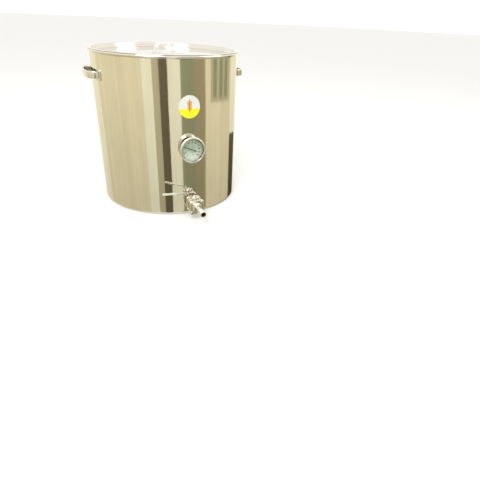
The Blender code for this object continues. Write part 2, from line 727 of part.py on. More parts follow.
def valve_stem(pivot):
    """Stem with a tang in the ball's slot, a packing ring, the gland nut and the lever's nut."""
    shaft_start = BALL_RADIUS + 0.4 * MM
    stem = add_piece("valve_stem", rod(STEM_RADIUS, shaft_start, STEM_TOP, 20), STEEL, pivot)
    tang_bottom = SLOT_FLOOR + GAP
    tang = box((SLOT_WIDTH - 2 * GAP, 7 * MM, 6 * MM), (0, 0, tang_bottom + 3 * MM))
    combine(stem, tang, "UNION")
    nut_bottom = LEVER_PLANE + LEVER_THICKNESS + GAP
    nut = tube(hexagon(13 * MM), STEM_RADIUS + GAP, nut_bottom, nut_bottom + 4.5 * MM)
    add_piece("lever_nut", nut, STEEL, pivot)


def valve_gland(stem_axis):
    """The packing ring round the stem and the nut that presses it down."""
    packing = tube(7.2 * MM, STEM_RADIUS + GAP, GLAND_BOTTOM + GAP, BOSS_TOP - MM)
    add_piece("stem_packing", packing, PTFE, stem_axis)
    gland = tube(hexagon(17 * MM), STEM_RADIUS + GAP, BOSS_TOP + GAP, LEVER_PLANE - GAP)
    add_piece("gland_nut", gland, STEEL, stem_axis)


def lever_path():
    """The strap's centre line as (distance from the stem, height above the lever plane)."""
    middle = LEVER_THICKNESS / 2
    arm = middle + LEVER_RISE
    path = [(-LEVER_HUB_START, middle), (LEVER_HUB_END, middle), (LEVER_CRANK_END, arm)]
    path.append((LEVER_LENGTH, arm + LEVER_TIP_RISE))
    return path


def lever(pivot):
    """A flat strap: a wide hub on the stem, a crank upward and a long narrow arm."""
    path = lever_path()
    widths = (LEVER_HUB_WIDTH, LEVER_HUB_WIDTH, LEVER_WIDTH, LEVER_WIDTH)
    sections = []
    for i, (reach, height) in enumerate(path):
        before = Vector(path[max(i - 1, 0)])
        after = Vector(path[min(i + 1, len(path) - 1)])
        tangent = ((Vector(path[i]) - before).normalized() + (after - Vector(path[i])).normalized()).normalized()
        normal = Vector((-tangent.y, tangent.x)) * LEVER_THICKNESS / 2
        half = widths[i] / 2
        section = []
        for side, face in ((-half, -1), (half, -1), (half, 1), (-half, 1)):
            x = -(reach + normal.x * face)
            z = LEVER_PLANE + height + normal.y * face
            section.append(Vector((x, side, z)))
        sections.append(section)
    strap = add_piece("lever", swept(sections), STEEL, pivot)
    hole = rod(STEM_RADIUS + GAP, LEVER_PLANE - MM, LEVER_PLANE + LEVER_THICKNESS + MM, 20)
    combine(strap, hole, "DIFFERENCE")


def lever_sleeve(pivot):
    """A soft sleeve pushed over the arm's outer half, closed at its tip."""
    path = lever_path()
    slope = math.atan2(path[3][1] - path[2][1], path[3][0] - path[2][0])
    origin_height = LEVER_PLANE + path[2][1] - math.tan(slope) * path[2][0]
    outer = rounded_rectangle(SLEEVE_THICKNESS, SLEEVE_WIDTH, 2.2 * MM, 3)
    outline = extruded(outer, SLEEVE_START, SLEEVE_END)
    rotation = (0, -math.pi / 2 + slope, 0)
    sleeve = add_piece("lever_sleeve", outline, VINYL, pivot, (0, 0, origin_height), rotation)
    inner_width = LEVER_WIDTH + 2 * GAP
    inner_thickness = LEVER_THICKNESS + 2 * GAP
    cavity_end = LEVER_LENGTH + 0.6 * MM
    cavity_length = cavity_end - SLEEVE_START + MM
    cavity = box((inner_thickness, inner_width, cavity_length), (0, 0, cavity_end - cavity_length / 2))
    combine(sleeve, cavity, "DIFFERENCE")


# ---------------------------------------------------------------- outlet

def outlet(axis):
    """The plain spout that the wort leaves by, screwed into the front cap."""
    shoulder = STEM_DISTANCE + NECK_END + GAP
    outline = [(PIPE_BORE, OUTLET_START), (THREAD_RADIUS, OUTLET_START), (THREAD_RADIUS, shoulder)]
    outline += [(OUTLET_RADIUS, shoulder + MM), (OUTLET_RADIUS, OUTLET_MOUTH), (PIPE_BORE, OUTLET_MOUTH)]
    add_piece("outlet_spout", turned(outline), STEEL, axis)


# ---------------------------------------------------------------- assembly

def main():
    clear_scene()
    kettle_shell()
    lift = add_empty("lid_lift")
    lid(lift)
    lid_grip(lift)
    side_handles()
    label()

    thermometer_axis = add_empty("thermometer_axis", location=(0, 0, THERMO_HEIGHT), rotation=OUTWARD)
    thermometer_fittings(thermometer_axis)
    thermometer_case(thermometer_axis)
    thermometer_front(thermometer_axis)
    thermometer_probe(thermometer_axis)
    thermometer_pointer(thermometer_axis)

    outlet_axis = add_empty("outlet_axis", location=(0, 0, VALVE_HEIGHT), rotation=OUTWARD)
    bulkhead(outlet_axis)
    pickup_tube(outlet_axis)
    outlet(outlet_axis)

    ball_centre = (0, -STEM_DISTANCE, VALVE_HEIGHT)
    valve_centre = add_empty("valve_centre", location=ball_centre, rotation=OUTWARD)
    valve_cap("valve_cap_front", valve_centre, False, NECK_END - 10 * MM)
    valve_cap("valve_cap_rear", valve_centre, True, NECK_END - 10 * MM)
    valve_body(valve_centre)
    valve_seats(valve_centre)
    valve_bolts(valve_centre)

    stem_axis = add_empty("stem_axis", location=ball_centre)
    valve_gland(stem_axis)
    pivot = add_empty("lever_pivot", location=ball_centre)
    valve_ball(pivot)
    valve_stem(pivot)
    lever(pivot)
    lever_sleeve(pivot)


main()
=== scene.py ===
"""Looks of the stainless brew kettle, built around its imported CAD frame.

Metres, +Z up, front towards -Y. Turned pieces on the front are drawn along an outward axis,
where a height is the distance from the kettle's own axis, and are then turned to face -Y.
"""
import math

import bmesh
import bpy
from mathutils import Matrix, Vector


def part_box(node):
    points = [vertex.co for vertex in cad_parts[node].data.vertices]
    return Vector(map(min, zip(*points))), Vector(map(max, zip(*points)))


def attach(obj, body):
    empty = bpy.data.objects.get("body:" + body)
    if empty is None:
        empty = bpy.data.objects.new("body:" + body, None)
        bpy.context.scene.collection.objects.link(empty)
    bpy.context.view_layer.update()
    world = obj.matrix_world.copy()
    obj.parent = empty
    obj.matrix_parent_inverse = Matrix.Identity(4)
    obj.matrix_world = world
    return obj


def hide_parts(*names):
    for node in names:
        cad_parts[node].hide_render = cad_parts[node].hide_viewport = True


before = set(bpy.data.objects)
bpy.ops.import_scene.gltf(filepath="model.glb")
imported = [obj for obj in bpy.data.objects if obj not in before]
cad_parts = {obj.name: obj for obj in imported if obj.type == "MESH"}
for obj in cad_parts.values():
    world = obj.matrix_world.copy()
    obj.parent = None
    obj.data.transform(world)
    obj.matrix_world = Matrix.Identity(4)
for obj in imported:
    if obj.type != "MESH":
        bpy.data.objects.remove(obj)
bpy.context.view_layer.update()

MM = 0.001
TINY = 1e-9
TAU = math.tau

# ---------------------------------------------------------------- places, read from the frame


def low(node):
    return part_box(node)[0]


def high(node):
    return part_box(node)[1]


def middle(node):
    return (low(node) + high(node)) / 2


def out_near(node):
    """The node's least distance from the kettle's axis along the outward direction."""
    return -high(node).y


def out_far(node):
    return -low(node).y


def span(node):
    return out_near(node), out_far(node)


def half_width(node):
    return (high(node).x - low(node).x) / 2


RIM_TOP = high("kettle_shell").z
RIM_RADIUS = high("kettle_shell").x
WALL_RADIUS = RIM_RADIUS - 5.5 * MM
WALL_THICKNESS = 1.2 * MM
BASE_CORNER = 10 * MM
BEAD_RADIUS = 4.2 * MM
DIAL_HEIGHT = middle("thermometer_dial").z
PIPE_HEIGHT = middle("outlet_spout").z
STEM_OUT = -middle("valve_stem").y
THREAD_RADIUS = 10.5 * MM
PIPE_BORE = 7.5 * MM
LEVER_PLANE = low("lever").z
ROUND = 288


def linked(name, data):
    """A new object in the scene."""
    obj = bpy.data.objects.new(name, data)
    bpy.context.scene.collection.objects.link(obj)
    return obj


def mesh_from(name, bm):
    mesh = bpy.data.meshes.new(name)
    bm.to_mesh(mesh)
    bm.free()
    return mesh


def evaluated_mesh(obj):
    bpy.context.view_layer.update()
    graph = bpy.context.evaluated_depsgraph_get()
    return bpy.data.meshes.new_from_object(obj.evaluated_get(graph), depsgraph=graph)


# ---------------------------------------------------------------- camera

CAMERA_PLACE = Vector((-0.4192, -1.4709, 0.629))
CAMERA_HEADING = math.radians(26.84)
CAMERA_PITCH = math.radians(29.84)
CAMERA_ROLL = math.radians(-2.743)
CAMERA_LENS = 29.74


def make_camera():
    heading, pitch, roll = CAMERA_HEADING, CAMERA_PITCH, CAMERA_ROLL
    ahead = Vector((math.sin(heading), math.cos(heading), 0))
    forward = ahead * math.cos(pitch) - Vector((0, 0, math.sin(pitch)))
    level = Vector((ahead.y, -ahead.x, 0))
    down = forward.cross(level)
    right = level * math.cos(roll) + down * math.sin(roll)
    up = -(down * math.cos(roll) - level * math.sin(roll))
    place = Matrix((right, up, -forward)).transposed().to_4x4()
    place.translation = CAMERA_PLACE
    data = bpy.data.cameras.new("camera")
    data.lens = CAMERA_LENS
    data.sensor_width = 36
    data.clip_end = 100
    camera = linked("camera", data)
    camera.matrix_world = place
    bpy.context.scene.camera = camera


make_camera()

# ---------------------------------------------------------------- materials


def shader_of(name, colour, roughness, metallic=0.0):
    mat = bpy.data.materials.new(name)
    mat.use_nodes = True
    shader = mat.node_tree.nodes["Principled BSDF"]
    shader.inputs["Base Color"].default_value = (*colour, 1)
    shader.inputs["Roughness"].default_value = roughness
    shader.inputs["Metallic"].default_value = metallic
    return mat, mat.node_tree, shader


def object_height(tree):
    coords = tree.nodes.new("ShaderNodeTexCoord")
    parts = tree.nodes.new("ShaderNodeSeparateXYZ")
    tree.links.new(coords.outputs["Object"], parts.inputs["Vector"])
    return parts.outputs["Z"]


def noise_node(tree, scale, detail=3.0, rough=0.5, stretch=(1, 1, 1)):
    """Noise over the piece's own coordinates; a small stretch value draws the grain out that way."""
    coords = tree.nodes.new("ShaderNodeTexCoord")
    mapping = tree.nodes.new("ShaderNodeMapping")
    mapping.inputs["Scale"].default_value = [scale * s for s in stretch]
    pattern = tree.nodes.new("ShaderNodeTexNoise")
    pattern.inputs["Scale"].default_value = 1.0
    pattern.inputs["Detail"].default_value = detail
    pattern.inputs["Roughness"].default_value = rough
    tree.links.new(coords.outputs["Object"], mapping.inputs["Vector"])
    tree.links.new(mapping.outputs["Vector"], pattern.inputs["Vector"])
    return pattern.outputs["Fac"]


def spread(tree, value, low_value, high_value, start=0.3, end=0.7):
    """Maps a noise value to a range."""
    node = tree.nodes.new("ShaderNodeMapRange")
    node.inputs["From Min"].default_value = start
    node.inputs["From Max"].default_value = end
    node.inputs["To Min"].default_value = low_value
    node.inputs["To Max"].default_value = high_value
    tree.links.new(value, node.inputs["Value"])
    return node.outputs["Result"]


def blend_colour(tree, value, first, second):
    node = tree.nodes.new("ShaderNodeMix")
    node.data_type = "RGBA"
    node.inputs["A"].default_value = (*first, 1)
    node.inputs["B"].default_value = (*second, 1)
    tree.links.new(value, node.inputs["Factor"])
    return node.outputs["Result"]


def add_values(tree, first, second):
    node = tree.nodes.new("ShaderNodeMath")
    node.operation = "ADD"
    tree.links.new(first, node.inputs[0])
    tree.links.new(second, node.inputs[1])
    return node.outputs["Value"]


def bump(tree, height, distance, under=None):
    node = tree.nodes.new("ShaderNodeBump")
    node.inputs["Distance"].default_value = distance
    node.inputs["Strength"].default_value = 1.0
    tree.links.new(height, node.inputs["Height"])
    if under is not None:
        tree.links.new(under, node.inputs["Normal"])
    return node.outputs["Normal"]


def wire(tree, shader, sources):
    """Links each named input of the shader to its source."""
    for name, source in sources.items():
        tree.links.new(source, shader.inputs[name])


def sheet_steel(name, grain=(1, 1, 0.012), tint=(0.86, 0.83, 0.76), dull=(0.78, 0.74, 0.66),
                rough=(0.035, 0.10), waviness=0.0011, brushed=0.000012):
    """Mirror-polished stainless sheet: fine drawn lines, cloudy polish and slightly uneven flatness."""
    mat, tree, shader = shader_of(name, tint, rough[0], 1.0)
    lines = noise_node(tree, 420, 3.0, 0.6, grain)
    clouds = noise_node(tree, 14, 4.0, 0.6, (1, 1, 0.45))
    swell = noise_node(tree, 5.5, 1.5, 0.4, (1, 1, 0.55))
    mixed = add_values(tree, spread(tree, lines, -0.22, 0.22), spread(tree, clouds, 0.2, 0.8))
    wire(tree, shader, {
        "Base Color": blend_colour(tree, mixed, tint, dull),
        "Roughness": spread(tree, mixed, rough[0], rough[1], 0.0, 1.0),
    })
    broad = bump(tree, swell, waviness)
    wire(tree, shader, {"Normal": bump(tree, lines, brushed, broad)})
    return mat


def satin_steel(name):
    """Satin sheet inside the kettle, which scatters much of its light."""
    mat, tree, shader = shader_of(name, (0.72, 0.70, 0.64), 0.4, 0.45)
    lines = noise_node(tree, 420, 3.0, 0.6, (1, 1, 0.012))
    colour = blend_colour(tree, spread(tree, lines, 0, 1), (0.74, 0.72, 0.66), (0.62, 0.60, 0.54))
    wire(tree, shader, {
        "Base Color": colour,
        "Roughness": spread(tree, lines, 0.32, 0.46),
    })
    return mat


def turned_steel(name, tint=(0.80, 0.77, 0.70), rough=(0.10, 0.22), scratch=0.00003):
    """Machined or tumbled stainless fittings: tiny random scratches and rubbed patches."""
    mat, tree, shader = shader_of(name, tint, rough[0], 1.0)
    fine = noise_node(tree, 900, 3.0, 0.6)
    patches = noise_node(tree, 90, 3.0, 0.55)
    dull = tuple(0.86 * channel for channel in tint)
    wire(tree, shader, {
        "Base Color": blend_colour(tree, spread(tree, patches, 0, 1), tint, dull),
        "Roughness": spread(tree, patches, rough[0], rough[1]),
        "Normal": bump(tree, fine, scratch),
    })
    return mat


def blasted_steel(name):
    """Investment-cast stainless with a fine pebbled skin and random darker patches."""
    mat, tree, shader = shader_of(name, (0.9, 0.87, 0.79), 0.3, 1.0)
    pebbles = noise_node(tree, 1500, 2.0, 0.5)
    patches = noise_node(tree, 120)
    colour = blend_colour(tree, spread(tree, patches, 0, 1), (0.95, 0.92, 0.85), (0.74, 0.70, 0.60))
    wire(tree, shader, {
        "Base Color": colour,
        "Roughness": spread(tree, patches, 0.20, 0.36),
        "Normal": bump(tree, pebbles, 0.00016),
    })
    return mat


def soft_plastic(name, colour, shade, roughness, dimple):
    mat, tree, shader = shader_of(name, colour, roughness)
    skin = noise_node(tree, 700, 3.0, 0.55)
    clouds = noise_node(tree, 60)
    wire(tree, shader, {
        "Base Color": blend_colour(tree, spread(tree, clouds, 0, 1), colour, shade),
        "Roughness": spread(tree, skin, roughness - 0.06, roughness + 0.08),
        "Normal": bump(tree, skin, dimple),
    })
    return mat


def dial_enamel(name):
    """Greenish enamel with a random dusty mottle, under painted light: painted shade darker above, a painted
    highlight paler towards its lower edge.
    """
    mat, tree, shader = shader_of(name, (0.5, 0.56, 0.45), 0.45)
    # painted light: painted shade darkens the dial's top, and a painted highlight pales it towards the lower
    # edge
    painted_shade_to_highlight = spread(tree, object_height(tree), 0.0, 1.0, DIAL_HEIGHT + 12 * MM, DIAL_HEIGHT - 34 * MM)
    dust = spread(tree, noise_node(tree, 130, 4.0, 0.6), -0.3, 0.3)
    shade = blend_colour(tree, add_values(tree, painted_shade_to_highlight, dust), (0.33, 0.38, 0.27), (0.66, 0.71, 0.60))
    wire(tree, shader, {"Base Color": shade})
    return mat


def clear_glass(name):
    mat, tree, shader = shader_of(name, (0.97, 0.99, 0.98), 0.02)
    shader.inputs["Transmission Weight"].default_value = 1.0
    shader.inputs["IOR"].default_value = 1.06
    smears = noise_node(tree, 70)
    wire(tree, shader, {"Roughness": spread(tree, smears, 0.01, 0.04)})
    return mat


POLISHED = sheet_steel("polished_wall_steel")
INSIDE_STEEL = satin_steel("satin_inside_steel")
LID_STEEL = sheet_steel("polished_lid_steel", (1, 1, 1), waviness=0.0006, rough=(0.06, 0.16))
HANDLE_STEEL = turned_steel("satin_handle_steel", (0.80, 0.77, 0.69), (0.14, 0.26))
LID_GRIP_STEEL = turned_steel("satin_grip_steel", (0.97, 0.96, 0.93), (0.25, 0.4))
BEZEL_STEEL = turned_steel("satin_bezel_steel", (0.97, 0.95, 0.90), (0.26, 0.4))
BRIGHT = turned_steel("bright_fitting_steel", (0.94, 0.92, 0.85), (0.12, 0.26))
CASE_STEEL = sheet_steel("case_steel", (1, 1, 1), (0.80, 0.76, 0.68), (0.70, 0.66, 0.57), (0.06, 0.14), 0.0003)
CAST = blasted_steel("cast_valve_steel")
RUBBER = soft_plastic("seal_silicone", (0.42, 0.13, 0.09), (0.34, 0.10, 0.07), 0.6, 0.00003)
WHITE_RING = soft_plastic("ptfe_ring", (0.86, 0.86, 0.83), (0.80, 0.80, 0.76), 0.45, 0.00002)
SLEEVE = soft_plastic("grey_vinyl_sleeve", (0.58, 0.56, 0.46), (0.50, 0.48, 0.38), 0.42, 0.00005)
ENAMEL = dial_enamel("dial_enamel")
INK = soft_plastic("dial_ink", (0.012, 0.016, 0.012), (0.025, 0.03, 0.025), 0.5, 0.00001)
POINTER_BLACK = soft_plastic("pointer_black", (0.012, 0.014, 0.012), (0.03, 0.03, 0.03), 0.35, 0.00001)
LABEL_WHITE = soft_plastic("label_silver_white", (0.62, 0.65, 0.62), (0.56, 0.59, 0.56), 0.35, 0.00001)
LABEL_YELLOW = soft_plastic("label_yellow", (0.88, 0.72, 0.004), (0.80, 0.63, 0.004), 0.35, 0.00001)
LABEL_AMBER = soft_plastic("label_amber", (0.86, 0.40, 0.01), (0.80, 0.30, 0.01), 0.35, 0.00001)
LABEL_BROWN = soft_plastic("label_brown", (0.10, 0.035, 0.012), (0.06, 0.02, 0.01), 0.35, 0.00001)
BIMETAL = turned_steel("bimetal_wire", (0.62, 0.46, 0.28))
GLASS = clear_glass("dial_glass")

# ---------------------------------------------------------------- mesh helpers

OUTWARD = Matrix(((1, 0, 0, 0), (0, 0, -1, 0), (0, 1, 0, 0), (0, 0, 0, 1)))


def facing_out(height, across=0.0):
    """Places a shape drawn along an outward axis at a height on the kettle's front."""
    return Matrix.Translation((across, 0, height)) @ OUTWARD


def as_piece(name, bm, mat, body, nodes=(), place=None, sharp=32, edge=0.0, edge_steps=2):
    """Makes the mesh a finished piece: in place, smooth, ridden on its body, standing for its CAD nodes."""
    bmesh.ops.recalc_face_normals(bm, faces=bm.faces)
    if place is not None:
        bmesh.ops.transform(bm, matrix=place, verts=bm.verts)
    mesh = mesh_from(name, bm)
    mesh.shade_smooth()
    mesh.set_sharp_from_angle(angle=math.radians(sharp))
    mesh.materials.append(mat)
    obj = linked(name, mesh)
    if edge:
        soften(obj, edge, edge_steps)
    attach(obj, body)
    if nodes:
        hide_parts(*nodes)
    return obj


def soften(obj, width, steps):
    bevel = obj.modifiers.new("Edges", "BEVEL")
    bevel.width = width
    bevel.segments = steps
    bevel.limit_method = "ANGLE"
    bevel.angle_limit = math.radians(30)


def cut(obj, bm, place=None, operation="DIFFERENCE"):
    """Applies a Boolean of obj with the shape in bm."""
    bmesh.ops.recalc_face_normals(bm, faces=bm.faces)
    if place is not None:
        bmesh.ops.transform(bm, matrix=place, verts=bm.verts)
    tool = linked("tool", mesh_from("tool", bm))
    step = obj.modifiers.new("Cut", "BOOLEAN")
    step.operation = operation
    step.object = tool
    result = evaluated_mesh(obj)
    obj.modifiers.clear()
    obj.data = result
    bpy.data.objects.remove(tool)
    result.shade_smooth()
    result.set_sharp_from_angle(angle=math.radians(32))


def arc(centre, radius, start, end, steps):
    points = []
    for i in range(steps + 1):
        angle = math.radians(start + (end - start) * i / steps)
        points.append((centre[0] + radius * math.cos(angle), centre[1] + radius * math.sin(angle)))
    return points


def filleted(outline, radius, steps=4):
    """An outline with each of its corners rounded, as far as its sides allow."""
    count = len(outline)
    points = []
    for i, corner in enumerate(outline):
        corner = Vector(corner)
        if corner.x < TINY:
            points.append(tuple(corner))
            continue
        before = Vector(outline[i - 1]) - corner
        after = Vector(outline[(i + 1) % count]) - corner
        if before.length < TINY or after.length < TINY:
            points.append(tuple(corner))
            continue
        opening = before.angle(after)
        reach = min(radius / math.tan(opening / 2), before.length * 0.45, after.length * 0.45)
        start = corner + before.normalized() * reach
        end = corner + after.normalized() * reach
        for k in range(steps + 1):
            t = k / steps
            points.append(tuple(start * (1 - t) ** 2 + corner * (2 * t * (1 - t)) + end * t ** 2))
    return points


def hexagon(flats, clip=0.3 * MM):
    """A hexagon's radius as a function of the angle, with its corners slightly clipped."""
    limit = flats / 2 / math.cos(math.pi / 6) - clip

    def radius(angle):
        return min(flats / 2 / math.cos(angle % (math.pi / 3) - math.pi / 6), limit)
    return radius


def chamfered_hexagon(flats, bore, bottom, top, chamfer=0.14):
    """The outline of a hexagonal nut whose corners run into round chamfers at both ends."""
    hexes = hexagon(flats)
    depth = (top - bottom) * chamfer

    def rim(angle):
        return min(hexes(angle), flats / 2 * 0.985)
    ease = 0.4 * MM
    return [(bore, bottom + ease), (bore + ease, bottom), (rim, bottom), (hexes, bottom + depth),
            (hexes, top - depth), (rim, top), (bore + ease, top), (bore, top - ease)]


def join_rings(bm, ring, following):
    steps = max(len(ring), len(following))
    for i in range(steps):
        j = (i + 1) % steps
        if len(ring) == 1:
            bm.faces.new((ring[0], following[i], following[j]))
        elif len(following) == 1:
            bm.faces.new((ring[i], ring[j], following[0]))
        else:
            bm.faces.new((ring[i], ring[j], following[j], following[i]))


def turn(bm, outline, steps, centre=(0, 0)):
    """Turns (radius, height) points about Z at centre. A radius may be a function of the angle."""
    rings = []
    for radius, height in outline:
        if not callable(radius) and radius < TINY:
            rings.append([bm.verts.new((centre[0], centre[1], height))])
            continue
        ring = []
        for i in range(steps):
            angle = TAU * i / steps
            reach = radius(angle) if callable(radius) else radius
            ring.append(bm.verts.new((centre[0] + reach * math.cos(angle),
                                      centre[1] + reach * math.sin(angle), height)))
        rings.append(ring)
    followers = rings[1:] if len(rings[0]) == 1 else rings[1:] + rings[:1]
    for ring, following in zip(rings, followers):
        join_rings(bm, ring, following)
    return bm


def turned(outline, steps=72):
    return turn(bmesh.new(), outline, steps)


def turned_piece(name, outline, steps, mat, node, place, body="kettle"):
    return as_piece(name, turned(outline, steps), mat, body, (node,), place)


def tube(outer, bore, bottom, top, steps=72, ease=0.5 * MM):
    return turned(filleted([(bore, bottom), (outer, bottom), (outer, top), (bore, top)], ease), steps)


def rod(radius, bottom, top, steps=48):
    return turned([(0, bottom), (radius, bottom), (radius, top), (0, top)], steps)


def rounded_rectangle(width, height, radius, corner_steps):
    points = []
    half_x = width / 2 - radius
    half_y = height / 2 - radius
    for corner, (sx, sy) in enumerate(((1, 1), (-1, 1), (-1, -1), (1, -1))):
        start = 90 * corner
        points += arc((sx * half_x, sy * half_y), radius, start, start + 90, corner_steps)
    return points


def extruded(points, bottom, top):
    bm = bmesh.new()
    lower = [bm.verts.new((x, y, bottom)) for x, y in points]
    upper = [bm.verts.new((x, y, top)) for x, y in points]
    bm.faces.new(lower)
    bm.faces.new(upper)
    join_rings(bm, lower, upper)
    return bm


def swept(sections):
    bm = bmesh.new()
    rings = [[bm.verts.new(point) for point in section] for section in sections]
    bm.faces.new(rings[0])
    bm.faces.new(rings[-1])
    for ring, following in zip(rings, rings[1:]):
        join_rings(bm, ring, following)
    return bm


def box_shape(size, centre):
    bm = bmesh.new()
    bmesh.ops.create_cube(bm, size=1)
    bmesh.ops.scale(bm, vec=size, verts=bm.verts)
    bmesh.ops.translate(bm, vec=centre, verts=bm.verts)
    return bm


def path_tangents(path):
    tangents = []
    for i in range(len(path)):
        before = Vector(path[max(i - 1, 0)])
        after = Vector(path[min(i + 1, len(path) - 1)])
        tangents.append((after - before).normalized())
    return tangents


def strap_sections(path, width, thickness, corner, steps=5):
    """Rounded sections of a flat strap along a path in the XY plane; the width is along Z."""
    sections = []
    profile = rounded_rectangle(thickness, width, corner, steps)
    for point, tangent in zip(path, path_tangents(path)):
        normal = Vector((tangent.y, -tangent.x))
        sections.append([Vector((point[0] + normal.x * offset, point[1] + normal.y * offset, height))
                         for offset, height in profile])
    return sections


# ---------------------------------------------------------------- kettle


def kettle_outline():
    """Outer side from the base centre up, over the rolled rim, and down the inner side."""
    bead_centre = RIM_TOP - BEAD_RADIUS
    corner_centre = (WALL_RADIUS - BASE_CORNER, BASE_CORNER)
    inner = WALL_RADIUS - WALL_THICKNESS
    outline = [(0, 0), (60 * MM, 0), (120 * MM, 0), (180 * MM, 0)]
    outline += arc(corner_centre, BASE_CORNER, -90, 0, 14)
    patch = 17 * MM
    for height in (PIPE_HEIGHT - patch, PIPE_HEIGHT + patch, DIAL_HEIGHT - patch, DIAL_HEIGHT + patch):
        outline.append((WALL_RADIUS, height))
    outline += [(WALL_RADIUS, 330 * MM), (WALL_RADIUS, 420 * MM), (WALL_RADIUS, RIM_TOP - 2.4 * BEAD_RADIUS)]
    outline += arc((RIM_RADIUS - BEAD_RADIUS, bead_centre), BEAD_RADIUS, -75, 90, 14)
    outline += arc((inner + 1.5 * MM, RIM_TOP - 1.5 * MM), 1.5 * MM, 90, 180, 4)
    for height in (420 * MM, 330 * MM, DIAL_HEIGHT + patch, DIAL_HEIGHT - patch, PIPE_HEIGHT + patch,
                   PIPE_HEIGHT - patch):
        outline.append((inner, height))
    outline += arc(corner_centre, BASE_CORNER - WALL_THICKNESS, 0, -90, 10)
    outline += [(180 * MM, WALL_THICKNESS), (120 * MM, WALL_THICKNESS), (60 * MM, WALL_THICKNESS)]
    outline += [(0, WALL_THICKNESS)]
    return outline


def build_kettle():
    shell = as_piece("kettle_wall", turned(kettle_outline(), ROUND), POLISHED, "kettle", ("kettle_shell",))
    shell.data.materials.append(INSIDE_STEEL)
    for face in shell.data.polygons:
        within = face.center.xy.length < WALL_RADIUS - WALL_THICKNESS / 2
        outward = face.normal.xy.dot(face.center.xy.normalized())
        face.material_index = int(within and face.normal.z > outward)
    for height in (PIPE_HEIGHT, DIAL_HEIGHT):
        hole = rod(THREAD_RADIUS + 0.3 * MM, WALL_RADIUS - 12 * MM, WALL_RADIUS + 6 * MM)
        cut(shell, hole, facing_out(height))


def build_lid():
    """Pressed lid: a flange on the rim, a rolled-down wall, and a pan with two raised steps."""
    thickness = 1.2 * MM
    flange = high("lid").z
    flange_radius = high("lid").x
    pan = low("lid").z + thickness
    step = 1.8 * MM
    upper = [(0, pan + 2 * step), (69 * MM, pan + 2 * step), (72 * MM, pan + step), (159 * MM, pan + step),
             (162 * MM, pan), (234.5 * MM, pan), (238 * MM, pan + 1.5 * MM), (240.5 * MM, flange - 1.5 * MM),
             (242.5 * MM, flange), (flange_radius, flange)]
    lower = []
    for radius, height in reversed(upper):
        inset = thickness if 235 * MM < radius < flange_radius - MM else 0
        lower.append((radius + inset, height - thickness))
    outline = filleted(upper + lower, 2.2 * MM, 5)
    as_piece("lid_pan", turned(outline, ROUND), LID_STEEL, "lid", ("lid",), sharp=50)


def build_lid_grip():
    box_low, box_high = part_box("lid_handle")
    centre = (box_low + box_high) / 2
    floor = low("lid_handle_foot_left").z
    direction = middle("lid_handle_foot_right") - middle("lid_handle_foot_left")
    angle = math.atan2(direction.y, direction.x)
    place = Matrix.Translation((centre.x, centre.y, floor)) @ Matrix.Rotation(angle, 4, "Z")
    foot_thickness = high("lid_handle_foot_left").z - floor
    for side, sign in (("left", -1), ("right", 1)):
        plate = extruded(rounded_rectangle(26 * MM, 20 * MM, 6 * MM, 8), 0, foot_thickness)
        foot = place @ Matrix.Translation((sign * direction.length / 2, 0, 0))
        name = "lid_handle_foot_" + side
        as_piece(name + "_plate", plate, LID_GRIP_STEEL, "lid", (name,), foot, edge=0.5 * MM, edge_steps=3)
    thickness = 5 * MM
    half = 40 * MM
    bend = 13 * MM
    peak = box_high.z - floor - thickness / 2
    path = [(half, foot_thickness + 0.2 * MM), (half, peak - bend - 2 * MM)]
    path += arc((half - bend, peak - bend), bend, 0, 90, 14)
    path += arc((bend - half, peak - bend), bend, 90, 180, 14)
    path += [(-half, peak - bend - 2 * MM), (-half, foot_thickness + 0.2 * MM)]
    sections = strap_sections(path, 15 * MM, thickness, 2 * MM)
    upright = place @ Matrix.Rotation(math.pi / 2, 4, "X")
    as_piece("lid_handle_strap", swept(sections), LID_GRIP_STEEL, "lid", ("lid_handle",), upright)


def build_side_handle(side, sign):
    node = "handle_" + side
    reach = max(abs(low(node).x), abs(high(node).x))
    half_span = high(node).y - 3 * MM
    width = high(node).z - low(node).z
    thickness = 6 * MM
    elbow = 26 * MM
    bow = 4.3 * MM
    outer = reach - thickness / 2
    seat = WALL_RADIUS + 2.5 * MM
    contact = math.sqrt(seat ** 2 - half_span ** 2)
    centre = Vector((outer - bow - elbow, half_span - elbow))
    lean = math.degrees(math.atan(2 * bow / centre.y))
    path = [(contact - 2 * MM, half_span), (contact + 1.4 * MM, half_span)]
    path += arc(centre, elbow, 90, lean, 16)
    crown = path[-1][1]
    path += [(outer - bow * (y / 10) ** 2, crown * y / 10) for y in range(8, -9, -2)]
    path += arc((centre.x, -centre.y), elbow, -lean, -90, 16)
    path += [(contact + 1.4 * MM, -half_span), (contact - 2 * MM, -half_span)]
    sections = strap_sections(path, width, thickness, 2.6 * MM, 6)
    for section in (sections[0], sections[-1]):
        for point in section:
            point.x = math.sqrt(seat ** 2 - point.y ** 2)
    for section in sections:
        for point in section:
            point.x *= sign
    place = Matrix.Translation((0, 0, middle(node).z))
    as_piece(node + "_strap", swept(sections), HANDLE_STEEL, "kettle", (node,), place, sharp=40)
    for end in ("front", "rear"):
        build_handle_foot(node + "_foot_" + end)


